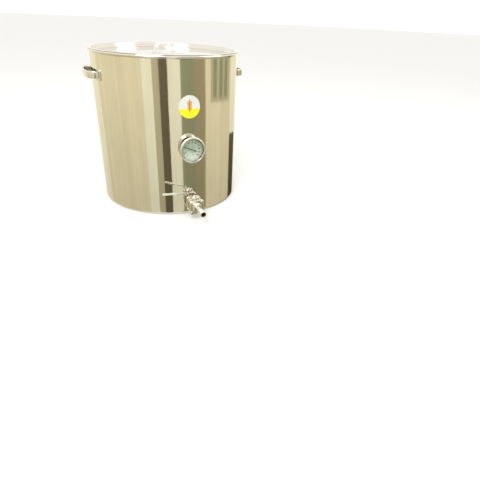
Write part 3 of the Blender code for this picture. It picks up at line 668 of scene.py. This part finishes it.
def build_handle_foot(node):
    """A plate bent to the wall, with rounded corners and a slightly domed face."""
    centre = middle(node)
    azimuth = math.atan2(centre.y, centre.x)
    half_angle = math.radians(3.0)
    half_height = (high(node).z - low(node).z) / 2
    inner = WALL_RADIUS + 0.2 * MM
    thickness = 2.1 * MM
    corner = 6 * MM
    half_wide = half_angle * WALL_RADIUS
    outline = rounded_rectangle(2 * half_wide, 2 * half_height, corner, 8)
    bm = bmesh.new()
    rings = []
    for reach, shrink in ((inner, 1.0), (inner + thickness - 0.6 * MM, 1.0), (inner + thickness, 0.95)):
        ring = []
        for across, up in outline:
            angle = azimuth + across * shrink / WALL_RADIUS
            height = centre.z + up * (1 - (1 - shrink) * half_wide / half_height)
            ring.append(bm.verts.new((reach * math.cos(angle), reach * math.sin(angle), height)))
        rings.append(ring)
    for ring, following in zip(rings, rings[1:]):
        join_rings(bm, ring, following)
    for ring in (rings[0], rings[-1]):
        strip_cap(bm, ring)
    as_piece(node + "_plate", bm, HANDLE_STEEL, "kettle", (node,), sharp=40)


def strip_cap(bm, ring):
    """Closes a ring that is symmetric about its middle with strips across it, so that it can bend."""
    count = len(ring)
    quarter = count // 4
    order = ring[-quarter:] + ring[:-quarter]
    for i in range(count // 2 - 1):
        first, second = order[i], order[i + 1]
        third, fourth = order[count - 2 - i], order[count - 1 - i]
        corners = []
        for vert in (first, second, third, fourth):
            if vert not in corners:
                corners.append(vert)
        if len(corners) > 2:
            bm.faces.new(corners)


# ---------------------------------------------------------------- label

LABEL_CENTRE = middle("label")
LABEL_AZIMUTH = math.atan2(LABEL_CENTRE.x, -LABEL_CENTRE.y)
LABEL_RADIUS = (high("label").z - low("label").z) / 2
LABEL_INNER = WALL_RADIUS + 0.15 * MM


def on_label(across, up, reach):
    angle = LABEL_AZIMUTH + across / WALL_RADIUS
    return Vector((reach * math.sin(angle), -reach * math.cos(angle), LABEL_CENTRE.z + up))


def label_patch(name, outline, mat, lift, thickness, centre=None):
    """A thin film patch of any convex outline, wrapped on the wall; it is filled from its centre."""
    if centre is None:
        centre = (sum(p[0] for p in outline) / len(outline), sum(p[1] for p in outline) / len(outline))
    inner = LABEL_INNER + lift
    bm = bmesh.new()
    layers = []
    for reach in (inner, inner + thickness):
        layer = [[bm.verts.new(on_label(*centre, reach))]]
        for fraction in (0.25, 0.5, 0.75, 1.0):
            ring = []
            for across, up in outline:
                x = centre[0] + (across - centre[0]) * fraction
                y = centre[1] + (up - centre[1]) * fraction
                ring.append(bm.verts.new(on_label(x, y, reach)))
            layer.append(ring)
        for ring, following in zip(layer, layer[1:]):
            join_rings(bm, ring, following)
        layers.append(layer)
    join_rings(bm, layers[0][-1], layers[1][-1])
    return as_piece(name, bm, mat, "kettle")


def label_leaf(name, centre, tilt, long, wide, film, ink):
    """A pointed grain in its darker outline."""
    axis = Vector((math.cos(tilt), math.sin(tilt)))
    side = Vector((-axis.y, axis.x))
    for layer, (mat, grow) in enumerate(((LABEL_BROWN, 0.5 * MM), (LABEL_AMBER, 0.0))):
        outline = []
        for k in range(16):
            angle = TAU * k / 16
            along = axis * math.copysign(abs(math.cos(angle)) ** 1.3, math.cos(angle)) * (long + grow)
            outline.append(tuple(centre + along + side * math.sin(angle) * (wide + grow)))
        label_patch("%s_%d" % (name, layer + 1), outline, mat, film + ink * (layer + 1), ink)


def build_label():
    """A round film: silvery white above, yellow below, with a plain upright ear of grain in the middle."""
    film = 0.25 * MM
    split = -6 * MM
    half = math.sqrt(LABEL_RADIUS ** 2 - split ** 2)
    low_angle = math.degrees(math.atan2(split, half))
    upper = arc((0, 0), LABEL_RADIUS, low_angle, 180 - low_angle, 48)
    lower = arc((0, 0), LABEL_RADIUS, 180 - low_angle, 360 + low_angle, 40)
    lower += [(x * half / 12, split) for x in range(11, -12, -1)]
    upper += [(x * half / 12, split) for x in range(-11, 12)]
    white = label_patch("label_upper", upper, LABEL_WHITE, 0, film, (0, 14 * MM))
    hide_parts("label")
    label_patch("label_lower", lower, LABEL_YELLOW, 0, film, (0, -20 * MM))
    ink = 0.06 * MM
    stem_half = 0.7 * MM
    stem = [(-stem_half, -16 * MM), (stem_half, -16 * MM), (stem_half, 14 * MM), (-stem_half, 14 * MM)]
    label_patch("label_stem", stem, LABEL_BROWN, film, ink)
    for row in range(5):
        for sign in (-1, 1):
            centre = Vector((sign * 4.0, 5.2 * row - 7)) * MM
            name = "label_grain_%d_%s" % (row + 1, "left" if sign < 0 else "right")
            label_leaf(name, centre, math.radians(90 - sign * 32), 4.2 * MM, 1.8 * MM, film, ink)
    label_leaf("label_grain_top", Vector((0, 19 * MM)), math.radians(90), 4.2 * MM, 1.8 * MM, film, ink)


# ---------------------------------------------------------------- thermometer

SCALE_START = math.radians(225)
SCALE_SWEEP = math.radians(270)
SCALE_MARKS = 50
SCALE_TOP = 100


def build_thermometer_body():
    place = facing_out(DIAL_HEIGHT)
    back = out_near("thermometer_case")
    front = out_far("thermometer_case")
    radius = half_width("thermometer_case")
    wall = 1.0 * MM
    corner = 5 * MM
    hole = 7.3 * MM
    outline = [(hole, back)]
    outline += arc((radius - corner, back + corner), corner, -90, 0, 8)
    outline += [(radius, front - 6 * MM), (radius, front), (radius - wall, front)]
    outline += arc((radius - corner, back + corner), corner - wall, 0, -90, 8)
    outline += [(hole, back + wall)]
    turned_piece("thermometer_cup", outline, 128, CASE_STEEL, "thermometer_case", place)

    ring = half_width("thermometer_bezel")
    rear = out_near("thermometer_bezel")
    face = out_far("thermometer_bezel")
    fit = radius + 0.2 * MM
    opening = 37.3 * MM
    lip = out_far("thermometer_lens") + 0.2 * MM
    outline = [(fit, rear), (ring - 0.8 * MM, rear)]
    outline += arc((ring - 1.2 * MM, rear + 1.6 * MM), 1.2 * MM, -60, 0, 4)
    outline += arc((ring - 2.6 * MM, face - 2.6 * MM), 2.6 * MM, 0, 90, 8)
    outline += arc((opening + 1.4 * MM, face - 1.4 * MM), 1.4 * MM, 90, 180, 6)
    outline += [(opening, lip), (fit, lip)]
    turned_piece("thermometer_ring", outline, 144, BEZEL_STEEL, "thermometer_bezel", place)

    lens_back, lens_front = span("thermometer_lens")
    lens_radius = half_width("thermometer_lens")
    outline = [(0, lens_back), (lens_radius, lens_back), (lens_radius, lens_front), (0, lens_front)]
    outline = filleted(outline, 0.4 * MM)
    turned_piece("thermometer_glass", outline, 96, GLASS, "thermometer_lens", place)


def scale_angle(value):
    return SCALE_START - SCALE_SWEEP * value / SCALE_TOP


def build_dial():
    """Enamelled dial with a printed arc, ticks and numbers from 0 to 100."""
    place = facing_out(DIAL_HEIGHT)
    plane = out_far("thermometer_dial")
    back = out_near("thermometer_dial")
    radius = half_width("thermometer_dial")
    outline = filleted([(3 * MM, back), (radius, back), (radius, plane), (3 * MM, plane)], 0.2 * MM, 2)
    turned_piece("dial_plate", outline, 96, ENAMEL, "thermometer_dial", place)
    ink = 0.12 * MM
    ticks = bmesh.new()
    for i in range(SCALE_MARKS + 1):
        angle = scale_angle(SCALE_TOP * i / SCALE_MARKS)
        major = i % 5 == 0
        inner = 29.4 * MM if major else 31.8 * MM
        outer = 35.2 * MM
        half = 0.42 * MM if major else 0.2 * MM
        direction = Vector((math.cos(angle), math.sin(angle), 0))
        side = Vector((-direction.y, direction.x, 0)) * half
        corners = []
        for height in (plane, plane + ink):
            lift = Vector((0, 0, height))
            corners.append([direction * inner - side + lift, direction * outer - side + lift,
                            direction * outer + side + lift, direction * inner + side + lift])
        rings = [[ticks.verts.new(p) for p in ring] for ring in corners]
        ticks.faces.new(rings[0])
        ticks.faces.new(rings[1])
        join_rings(ticks, rings[0], rings[1])
    as_piece("dial_ticks", ticks, INK, "kettle", place=place)
    arc_points = []
    steps = 90
    for i in range(steps + 1):
        angle = scale_angle(SCALE_TOP * i / steps)
        direction = Vector((math.cos(angle), math.sin(angle), 0))
        section = []
        for reach, height in ((35.2, 0), (35.8, 0), (35.8, ink / MM), (35.2, ink / MM)):
            section.append(direction * reach * MM + Vector((0, 0, plane + height * MM)))
        arc_points.append(section)
    as_piece("dial_arc", swept(arc_points), INK, "kettle", place=place)
    for value in range(0, SCALE_TOP + 1, 10):
        angle = scale_angle(value)
        spot = Vector((math.cos(angle), math.sin(angle), 0)) * 24.4 * MM
        add_number("dial_number_%d" % value, str(value), 5.6 * MM, spot + Vector((0, 0, plane)), ink, place)
    add_number("dial_unit", "°C", 5.2 * MM, Vector((0, -14 * MM, plane)), ink, place)


def add_number(name, text, size, spot, ink, place):
    curve = bpy.data.curves.new(name, "FONT")
    curve.body = text
    curve.size = size
    curve.align_x = "CENTER"
    curve.align_y = "CENTER"
    curve.extrude = ink / 2
    curve.resolution_u = 3
    curve.offset = 0.08 * MM
    holder = linked(name + "_text", curve)
    mesh = evaluated_mesh(holder)
    bpy.data.objects.remove(holder)
    mesh.transform(place @ Matrix.Translation(spot + Vector((0, 0, ink / 2))))
    mesh.name = name
    mesh.materials.clear()
    mesh.materials.append(INK)
    obj = linked(name, mesh)
    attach(obj, "kettle")


def pointer_direction():
    """The angle of the CAD pointer's tip, read from the corner that lies farthest from its hub."""
    centre = Vector((0, 0, DIAL_HEIGHT))
    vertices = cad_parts["thermometer_pointer"].data.vertices
    tip = max(vertices, key=lambda v: math.hypot(v.co.x - centre.x, v.co.z - centre.z)).co
    return math.atan2(tip.z - centre.z, tip.x - centre.x), math.hypot(tip.x, tip.z - centre.z)


def build_pointer():
    """A slim blade with a round hub and an arrow-shaped counterweight."""
    angle, length = pointer_direction()
    plane = out_near("thermometer_pointer")
    thickness = 0.5 * MM
    tail = 16.3 * MM
    hub = 3.4 * MM
    outline = [(length, 0.6 * MM), (length * 0.6, 1.0 * MM), (hub, 1.3 * MM)]
    outline += arc((0, 0), hub, 14, 166, 14)
    outline += [(-hub, 0.8 * MM), (-tail * 0.5, 0.8 * MM), (-tail * 0.44, 2.9 * MM), (-tail, 0.25 * MM)]
    mirrored = [(x, -y) for x, y in reversed(outline)]
    place = facing_out(DIAL_HEIGHT) @ Matrix.Rotation(angle, 4, "Z")
    blade = extruded(outline + mirrored, plane, plane + thickness)
    as_piece("pointer_blade", blade, POINTER_BLACK, "pointer", ("thermometer_pointer",), place)
    cap_top = out_far("thermometer_shaft") + 0.3 * MM
    outline = [(0, plane + thickness), (1.7 * MM, plane + thickness), (1.7 * MM, cap_top), (0, cap_top)]
    cap = turned(filleted(outline, 0.5 * MM), 32)
    as_piece("pointer_cap", cap, BRIGHT, "pointer", place=place)


def build_thermometer_fitting():
    place = facing_out(DIAL_HEIGHT)
    near, far = span("thermometer_fitting")
    seal_near, seal_far = span("thermometer_seal")
    seal = tube(15 * MM, THREAD_RADIUS + 0.2 * MM, seal_near, seal_far, 72, 1.0 * MM)
    as_piece("thermometer_seal_ring", seal, RUBBER, "kettle", ("thermometer_seal",), place)
    hex_near = seal_far + 0.2 * MM
    hex_far = hex_near + 6 * MM
    bore = 3.5 * MM
    hexes = hexagon(27 * MM)

    def rim(angle):
        return min(hexes(angle), 13.2 * MM)
    outline = [(bore, near)] + thread_outline(THREAD_RADIUS, near, hex_near)
    outline += [(rim, hex_near), (hexes, hex_near + 1.2 * MM), (hexes, hex_far - 1.2 * MM), (rim, hex_far)]
    outline += [(8 * MM, hex_far), (7 * MM, hex_far + MM), (7 * MM, far), (bore, far)]
    turned_piece("thermometer_hex", outline, 72, BRIGHT, "thermometer_fitting", place)
    build_locknut("thermometer_locknut", place)


def thread_outline(radius, start, end, pitch=1.8 * MM, depth=0.55 * MM):
    """Ridges of a thread as seen from the side, from start to end."""
    points = [(radius - depth, start)]
    height = start + pitch / 2
    while height + pitch / 2 < end:
        points.append((radius, height))
        points.append((radius - depth, height + pitch / 2))
        height += pitch
    points.append((radius - depth, end))
    return points


def build_locknut(node, place):
    outline = chamfered_hexagon(27 * MM, THREAD_RADIUS + 0.1 * MM, *span(node))
    turned_piece(node + "_hex", outline, 72, BRIGHT, node, place)


def build_probe():
    place = facing_out(DIAL_HEIGHT)
    near, far = span("thermometer_probe")
    radius = half_width("thermometer_probe")
    outline = [(0, near)] + arc((radius - 1.5 * MM, near + 1.5 * MM), 1.5 * MM, -90, 0, 5)
    outline += [(radius, far), (radius - 0.5 * MM, far), (radius - 0.5 * MM, near + 2 * MM), (0, near + 2 * MM)]
    turned_piece("thermometer_stem", outline, 40, BRIGHT, "thermometer_probe", place)


# ---------------------------------------------------------------- valve


def build_bulkhead():
    place = facing_out(PIPE_HEIGHT)
    near, far = span("bulkhead_seal")
    seal = tube(14 * MM, THREAD_RADIUS + 0.2 * MM, near, far, 72, 0.8 * MM)
    as_piece("bulkhead_seal_ring", seal, RUBBER, "kettle", ("bulkhead_seal",), place)
    near, far = span("bulkhead_washer")
    washer = tube(16 * MM, THREAD_RADIUS + 0.3 * MM, near, far, 72)
    as_piece("bulkhead_washer_ring", washer, BRIGHT, "kettle", ("bulkhead_washer",), place)
    near, far = span("bulkhead_nipple")
    outline = [(PIPE_BORE, near)] + thread_outline(THREAD_RADIUS, near, far) + [(PIPE_BORE, far)]
    turned_piece("bulkhead_nipple_tube", outline, 72, BRIGHT, "bulkhead_nipple", place)
    build_locknut("bulkhead_locknut", place)


def build_cap(node, flip):
    """A cast square end cap with rounded corners, a flared round neck and bolt holes."""
    near = out_near(node) - STEM_OUT
    far = out_far(node) - STEM_OUT
    inner, outer = (near, far) if not flip else (-far, -near)
    width = 2 * half_width(node)
    thick = 9 * MM
    neck = 14 * MM
    plate = extruded(rounded_rectangle(width, width, 6 * MM, 7), inner, inner + thick)
    turn_over = Matrix.Rotation(math.pi, 4, "X") if flip else Matrix.Identity(4)
    place = facing_out(PIPE_HEIGHT) @ Matrix.Translation((0, 0, STEM_OUT)) @ turn_over
    cap = as_piece(node + "_casting", plate, CAST, "kettle", (node,), place, edge=1.1 * MM, edge_steps=4)
    flare = 2.6 * MM
    outline = [(0, inner + 2 * MM), (neck + flare, inner + 2 * MM), (neck + flare, inner + thick)]
    outline += arc((neck + flare, inner + thick + flare), flare, -90, -180, 6)[1:]
    outline += [(neck, outer - 1.4 * MM)]
    outline += arc((neck - 1.4 * MM, outer - 1.4 * MM), 1.4 * MM, 0, 90, 5)[1:]
    outline += [(0, outer)]
    cut(cap, turned(outline, 80), place, "UNION")
    socket = outer - 10 * MM
    bores = turned([(0, 0), (PIPE_BORE, 0), (PIPE_BORE, socket), (10.8 * MM, socket), (10.8 * MM, outer - MM),
                    (12 * MM, outer + MM), (0, outer + MM)], 64)
    for x, y in bolt_places():
        depth = inner + thick + 0.6 * MM
        turn(bores, [(0, 0), (3.3 * MM, 0), (3.3 * MM, depth), (0, depth)], 32, (x, y))
    cut(cap, bores, place)


def bolt_places():
    offset = abs(middle("body_bolt_2").x)
    return [(-offset, offset), (offset, offset), (offset, -offset), (-offset, -offset)]


def build_bolts():
    """Hexagon bolts with domed heads; their threads show between the caps."""
    for index, (x, y) in enumerate(bolt_places(), start=1):
        node = "body_bolt_%d" % index
        place = facing_out(PIPE_HEIGHT) @ Matrix.Translation((x, y, 0))
        near, far = span(node)
        head = far - 4 * MM
        hexes = hexagon(10 * MM, 0.2 * MM)

        def rim(angle, hexes=hexes):
            return min(hexes(angle), 4.85 * MM)
        outline = [(0, near), (2.2 * MM, near)]
        outline += thread_outline(3 * MM, near + 0.4 * MM, near + 14 * MM, MM, 0.3 * MM)
        outline += [(3 * MM, near + 14.4 * MM), (3 * MM, head), (hexes, head), (hexes, far - 0.7 * MM)]
        outline += [(rim, far - 0.1 * MM), (3.6 * MM, far), (3.2 * MM, far - 0.3 * MM), (0, far - 0.3 * MM)]
        turned_piece(node + "_turned", outline, 48, BRIGHT, node, place)
        nut = "body_nut_%d" % index
        outline = chamfered_hexagon(10 * MM, 3.1 * MM, *span(nut), 0.16)
        turned_piece(nut + "_hex", outline, 48, BRIGHT, nut, place)


def build_body():
    """The round middle casting with its stem boss, blended where they meet."""
    near = out_near("valve_body") - STEM_OUT
    far = out_far("valve_body") - STEM_OUT
    radius = half_width("valve_body")
    centre = facing_out(PIPE_HEIGHT) @ Matrix.Translation((0, 0, STEM_OUT))
    outline = filleted([(0, near), (radius, near), (radius, far), (0, far)], 1.0 * MM, 4)
    body = turned_piece("valve_body_casting", outline, 96, CAST, "valve_body", centre)
    upright = Matrix.Translation((0, -STEM_OUT, PIPE_HEIGHT))
    top = high("valve_body").z - PIPE_HEIGHT
    boss = 9.5 * MM
    flare = 3 * MM
    outline = [(0, 0), (boss + flare, 0), (boss + flare, radius - 4 * MM)]
    outline += arc((boss + flare, radius - MM), flare, -90, -180, 6)[1:]
    outline += [(boss, top - 0.8 * MM), (boss - 0.8 * MM, top), (0, top)]
    cut(body, turned(outline, 64), upright, "UNION")
    cut(body, rod(12.6 * MM, near - MM, far + MM, 72), centre)
    stem_hole = turned([(0, 5 * MM), (4.8 * MM, 5 * MM), (4.8 * MM, 17.5 * MM), (7.5 * MM, 17.5 * MM),
                        (7.5 * MM, top + MM), (0, top + MM)], 48)
    cut(body, stem_hole, upright)
    rib = box_shape((6 * MM, far - near - 3 * MM, 3 * MM), (0, -STEM_OUT, PIPE_HEIGHT - radius + 0.2 * MM))
    cut(body, rib, None, "UNION")


def build_stem():
    upright = Matrix.Translation((0, -STEM_OUT, 0))
    bottom = PIPE_HEIGHT + 12.4 * MM
    top = high("valve_stem").z
    flat_start = LEVER_PLANE - 1.5 * MM
    radius = 4.5 * MM
    outline = [(0, bottom), (radius, bottom), (radius, flat_start)]
    outline += thread_outline(radius, flat_start + 0.2 * MM, top - 1.2 * MM, 1.1 * MM, 0.3 * MM)
    outline += [(radius - 0.9 * MM, top), (0, top)]
    turned_piece("valve_stem_turned", outline, 48, BRIGHT, "valve_stem", upright, "valve_lever")
    nut = chamfered_hexagon(13 * MM, radius + 0.1 * MM, low("lever_nut").z, high("lever_nut").z, 0.18)
    turned_piece("lever_nut_hex", nut, 72, BRIGHT, "lever_nut", upright, "valve_lever")
    gland = chamfered_hexagon(17 * MM, radius + 0.2 * MM, low("gland_nut").z, high("gland_nut").z, 0.18)
    turned_piece("gland_nut_hex", gland, 72, BRIGHT, "gland_nut", upright)


LEVER_THICK = 2.5 * MM


def lever_line():
    """The strap's centre line as (distance from the stem, height), with its bends rounded."""
    base = LEVER_PLANE + LEVER_THICK / 2
    arm = base + 21 * MM
    corners = [(-10 * MM, base), (11 * MM, base), (32 * MM, arm), (110 * MM, arm + 5.5 * MM)]
    line = []
    count = len(corners)
    for i, corner in enumerate(corners):
        if i in (0, count - 1):
            line.append(corner)
            continue
        here = Vector(corner)
        before = (Vector(corners[i - 1]) - here).normalized() * 5 * MM
        after = (Vector(corners[i + 1]) - here).normalized() * 5 * MM
        for k in range(9):
            t = k / 8
            point = (here + before) * (1 - t) ** 2 + here * (2 * t * (1 - t)) + (here + after) * t ** 2
            line.append((point.x, point.y))
    return line


def resampled(line, spacing):
    points = [Vector(line[0])]
    for start, end in zip(line, line[1:]):
        start, end = Vector(start), Vector(end)
        steps = max(1, round((end - start).length / spacing))
        for k in range(1, steps + 1):
            points.append(start.lerp(end, k / steps))
    return points


def build_lever():
    """A pressed strap with a round hub end, a crank and a narrow arm."""
    line = resampled(lever_line(), 1.5 * MM)
    thick = LEVER_THICK
    hub_half = 9 * MM
    arm_half = 4.75 * MM
    travelled = 0.0
    rings = []
    tangents = path_tangents(line)
    total = sum((b - a).length for a, b in zip(line, line[1:]))
    for i, point in enumerate(line):
        if i:
            travelled += (point - line[i - 1]).length
        from_end = min(travelled, hub_half)
        half = math.sqrt(max(hub_half ** 2 - (hub_half - from_end) ** 2, (0.8 * MM) ** 2))
        neck = min(max((travelled - 20 * MM) / (26 * MM), 0), 1)
        ease = neck * neck * (3 - 2 * neck)
        half = half + (arm_half - hub_half) * ease
        remain = total - travelled
        if remain < arm_half:
            half = math.sqrt(max(arm_half ** 2 - (arm_half - remain) ** 2, (0.8 * MM) ** 2))
        normal = Vector((-tangents[i].y, tangents[i].x)) * thick / 2
        ring = []
        for side, face in ((-half, -1), (half, -1), (half, 1), (-half, 1)):
            ring.append(Vector((-(point.x + normal.x * face), side - STEM_OUT, point.y + normal.y * face)))
        rings.append(ring)
    strap = as_piece("lever_strap", swept(rings), BRIGHT, "valve_lever", ("lever",), edge=0.45 * MM, sharp=35)
    hole = rod(4.6 * MM, LEVER_PLANE - 2 * MM, LEVER_PLANE + thick + 2 * MM)
    cut(strap, hole, Matrix.Translation((0, -STEM_OUT, 0)))


def build_sleeve():
    """A dipped vinyl grip: soft edges, a thickened mouth and a rounded tip."""
    start, end = -high("lever_sleeve").x, -low("lever_sleeve").x
    line = lever_line()
    arm_start, arm_end = Vector(line[-2]), Vector(line[-1])
    slope = (arm_end.y - arm_start.y) / (arm_end.x - arm_start.x)
    width = high("lever_sleeve").y - low("lever_sleeve").y - 0.6 * MM
    thick = 4.6 * MM
    sections = []
    steps = 44
    for i in range(steps + 1):
        t = i / steps
        reach = start + (end - start) * t
        height = arm_start.y + slope * (reach - arm_start.x)
        grow = 1.0
        from_end = end - reach
        cap = 4.2 * MM
        if from_end < cap:
            grow = math.sqrt(max(1 - (1 - from_end / cap) ** 2, 0.02))
        from_start = reach - start
        lip = 1.0
        if from_start < 3.6 * MM:
            lip = 1.0 - 0.35 * (1 - from_start / (3.6 * MM)) ** 3
        squeeze = 1 - 0.05 * math.sin(math.pi * t)
        half_t = thick / 2 * grow * lip
        half_w = width / 2 * (0.35 + 0.65 * grow) * (0.85 + 0.15 * lip) * squeeze
        profile = rounded_rectangle(2 * half_t, 2 * half_w, min(half_t, half_w) * 0.92, 7)
        sections.append([Vector((-reach, across - STEM_OUT, height + up)) for up, across in profile])
    as_piece("lever_grip", swept(sections), SLEEVE, "valve_lever", ("lever_sleeve",), sharp=50)


def build_outlet():
    """A plain spout with a threaded root and a chamfered mouth."""
    near, mouth = span("outlet_spout")
    shoulder = out_far("valve_cap_front") + 0.3 * MM
    radius = 10.2 * MM
    outline = [(PIPE_BORE, near)] + thread_outline(THREAD_RADIUS, near, shoulder)
    outline += [(radius, shoulder + 0.8 * MM), (radius, mouth - 1.2 * MM)]
    outline += [(radius - 0.3 * MM, mouth - 0.4 * MM), (radius - 0.9 * MM, mouth)]
    outline += [(PIPE_BORE + 0.8 * MM, mouth), (PIPE_BORE + 0.2 * MM, mouth - 0.3 * MM)]
    outline += [(PIPE_BORE, mouth - 0.9 * MM)]
    place = facing_out(PIPE_HEIGHT)
    turned_piece("outlet_spout_tube", outline, 72, BRIGHT, "outlet_spout", place)


def build_pickup():
    """The bent tube inside, from the nipple's bore to just above the base."""
    start = out_far("pickup_tube")
    foot = low("pickup_tube").z
    radius = half_width("pickup_tube")
    drop = out_near("pickup_tube") + radius
    bend = 25 * MM
    path = [(start, PIPE_HEIGHT), ((start + drop + bend) / 2, PIPE_HEIGHT)]
    path += arc((drop + bend, PIPE_HEIGHT - bend), bend, 90, 180, 14)
    path += [(drop, foot)]
    bm = bmesh.new()
    layers = []
    for reach in (radius, radius - 1.0 * MM):
        layer = []
        for point, tangent in zip(path, path_tangents(path)):
            ring = []
            for k in range(36):
                angle = TAU * k / 36
                lift = reach * math.sin(angle)
                out = point[0] - tangent.y * lift
                ring.append(bm.verts.new((reach * math.cos(angle), -out, point[1] + tangent.x * lift)))
            layer.append(ring)
        for ring, following in zip(layer, layer[1:]):
            join_rings(bm, ring, following)
        layers.append(layer)
    join_rings(bm, layers[0][0], layers[1][0])
    join_rings(bm, layers[0][-1], layers[1][-1])
    as_piece("pickup_pipe", bm, BRIGHT, "kettle", ("pickup_tube",))


def finish_cad_nodes():
    """Materials of the CAD nodes that stay as they are, all of them inside the fittings."""
    kept = {"valve_ball": BRIGHT, "valve_seat_front": WHITE_RING, "valve_seat_rear": WHITE_RING,
            "stem_packing": WHITE_RING, "thermometer_shaft_guide": WHITE_RING, "thermometer_shaft": BRIGHT,
            "thermometer_bimetal_coil": BIMETAL}
    for node, mat in kept.items():
        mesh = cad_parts[node].data
        mesh.materials.clear()
        mesh.materials.append(mat)


# ---------------------------------------------------------------- stage

CARD_RADIUS = 3.0
CARD_BOTTOM = -6.0
CARD_TOP = 0.4
SCREEN_HIGH = 0.1
SCREEN_LOW = -1.2
WHITE_TONE = (1.20, 1.17, 1.00)
CREAM_TONE = (1.00, 0.96, 0.72)
SAND_TONE = (0.88, 0.80, 0.54)
KHAKI_TONE = (0.55, 0.50, 0.32)
OLIVE_TONE = (0.34, 0.34, 0.20)
BROWN_TONE = (0.42, 0.35, 0.20)
SHADE_TONE = (0.16, 0.13, 0.08)
VIEW_AZIMUTH = -15.9


def glow(name, tone, fall, streaks):
    """A glow that fades evenly towards the floor, with faint upright streaks."""
    mat = bpy.data.materials.new(name)
    mat.use_nodes = True
    tree = mat.node_tree
    tree.nodes.clear()
    low_tone = tuple(value * fall for value in tone)
    height = spread(tree, object_height(tree), 0.0, 1.0, SCREEN_LOW, SCREEN_HIGH)
    emission = tree.nodes.new("ShaderNodeEmission")
    tree.links.new(blend_colour(tree, height, low_tone, tone), emission.inputs["Color"])
    lines = noise_node(tree, 2.6, 5.0, 0.62, (1, 1, 0.02))
    tree.links.new(spread(tree, lines, 1 - streaks, 1 + streaks / 2, 0.35, 0.65), emission.inputs["Strength"])
    output = tree.nodes.new("ShaderNodeOutputMaterial")
    tree.links.new(emission.outputs["Emission"], output.inputs["Surface"])
    return mat


def screen(name, start, end, tone, fall=0.75, bottom=CARD_BOTTOM, top=CARD_TOP, layer=0):
    """An upright curved screen seen only in reflections. Angles are degrees from the camera's side."""
    radius = CARD_RADIUS - 0.05 * layer
    steps = max(12, round(abs(end - start)))
    bm = bmesh.new()
    rows = ([], [])
    for i in range(steps + 1):
        angle = math.radians(VIEW_AZIMUTH + start + (end - start) * i / steps)
        for row, height in zip(rows, (bottom, top)):
            row.append(bm.verts.new((radius * math.sin(angle), -radius * math.cos(angle), height)))
    for i in range(steps):
        bm.faces.new((rows[0][i], rows[0][i + 1], rows[1][i + 1], rows[1][i]))
    mesh = mesh_from(name, bm)
    mesh.materials.append(glow(name + "_glow", tone, fall, 0.08))
    obj = linked(name, mesh)
    only_in_reflections(obj)


def only_in_reflections(obj):
    for ray in ("camera", "diffuse", "shadow", "transmission", "volume_scatter"):
        setattr(obj, "visible_" + ray, False)


def build_reflection_screens():
    """What the polished steel mirrors: pale screens, a dark post, drapes and a barred window."""
    start = -180
    ring = ((-150, WHITE_TONE), (-120, CREAM_TONE), (-35, SAND_TONE), (-20, CREAM_TONE), (-10, KHAKI_TONE),
            (2, SHADE_TONE), (20, CREAM_TONE), (45, OLIVE_TONE), (60, BROWN_TONE), (120, SAND_TONE),
            (150, CREAM_TONE), (180, WHITE_TONE))
    for index, (end, tone) in enumerate(ring, start=1):
        screen("screen_%d" % index, start, end, tone)
        start = end
    screen("window_frame", 70, 115, KHAKI_TONE, bottom=-0.15, layer=1)
    for k in range(3):
        start = 75 + 13 * k
        screen("window_bar_%d" % (k + 1), start, start + 7, OLIVE_TONE, bottom=-0.1, layer=2)
    screen("drape_low", 120, 145, SHADE_TONE, fall=0.5, top=-0.5, layer=1)


def add_area(name, place, size, power, colour):
    data = bpy.data.lights.new(name, "AREA")
    data.shape = "RECTANGLE"
    data.size = data.size_y = size
    data.energy = power
    data.color = colour
    light = linked(name, data)
    light.location = place
    direction = Vector((0, 0, 0.3)) - Vector(place)
    light.rotation_euler = direction.to_track_quat("-Z", "Y").to_euler()


def build_stage():
    floor_bm = bmesh.new()
    bmesh.ops.create_circle(floor_bm, cap_ends=True, radius=30, segments=96)
    mesh = mesh_from("floor", floor_bm)
    mat, tree, shader = shader_of("pale_floor", (0.87, 0.87, 0.86), 0.8)
    grain = noise_node(tree, 3)
    colour = blend_colour(tree, grain, (0.88, 0.88, 0.87), (0.86, 0.86, 0.85))
    wire(tree, shader, {"Base Color": colour})
    mesh.materials.append(mat)
    floor = linked("floor", mesh)
    floor.location = (0, 0, -0.4 * MM)
    floor.visible_glossy = False
    build_reflection_screens()
    world = bpy.data.worlds.new("studio")
    world.use_nodes = True
    background = world.node_tree.nodes["Background"]
    background.inputs["Color"].default_value = (1.0, 0.99, 0.97, 1)
    background.inputs["Strength"].default_value = 1.05
    bpy.context.scene.world = world
    add_area("key", (-1.6, -1.8, 2.6), 1.8, 60, (1.0, 0.97, 0.92))
    add_area("fill", (2.2, -1.2, 1.8), 1.6, 18, (1.0, 0.98, 0.95))
    bpy.context.scene.view_settings.view_transform = "Standard"


build_kettle()
build_lid()
build_lid_grip()
build_side_handle("left", -1)
build_side_handle("right", 1)
build_label()
build_thermometer_body()
build_dial()
build_pointer()
build_thermometer_fitting()
build_probe()
build_bulkhead()
build_cap("valve_cap_front", False)
build_cap("valve_cap_rear", True)
build_body()
build_bolts()
build_stem()
build_lever()
build_sleeve()
build_outlet()
build_pickup()
finish_cad_nodes()
build_stage()
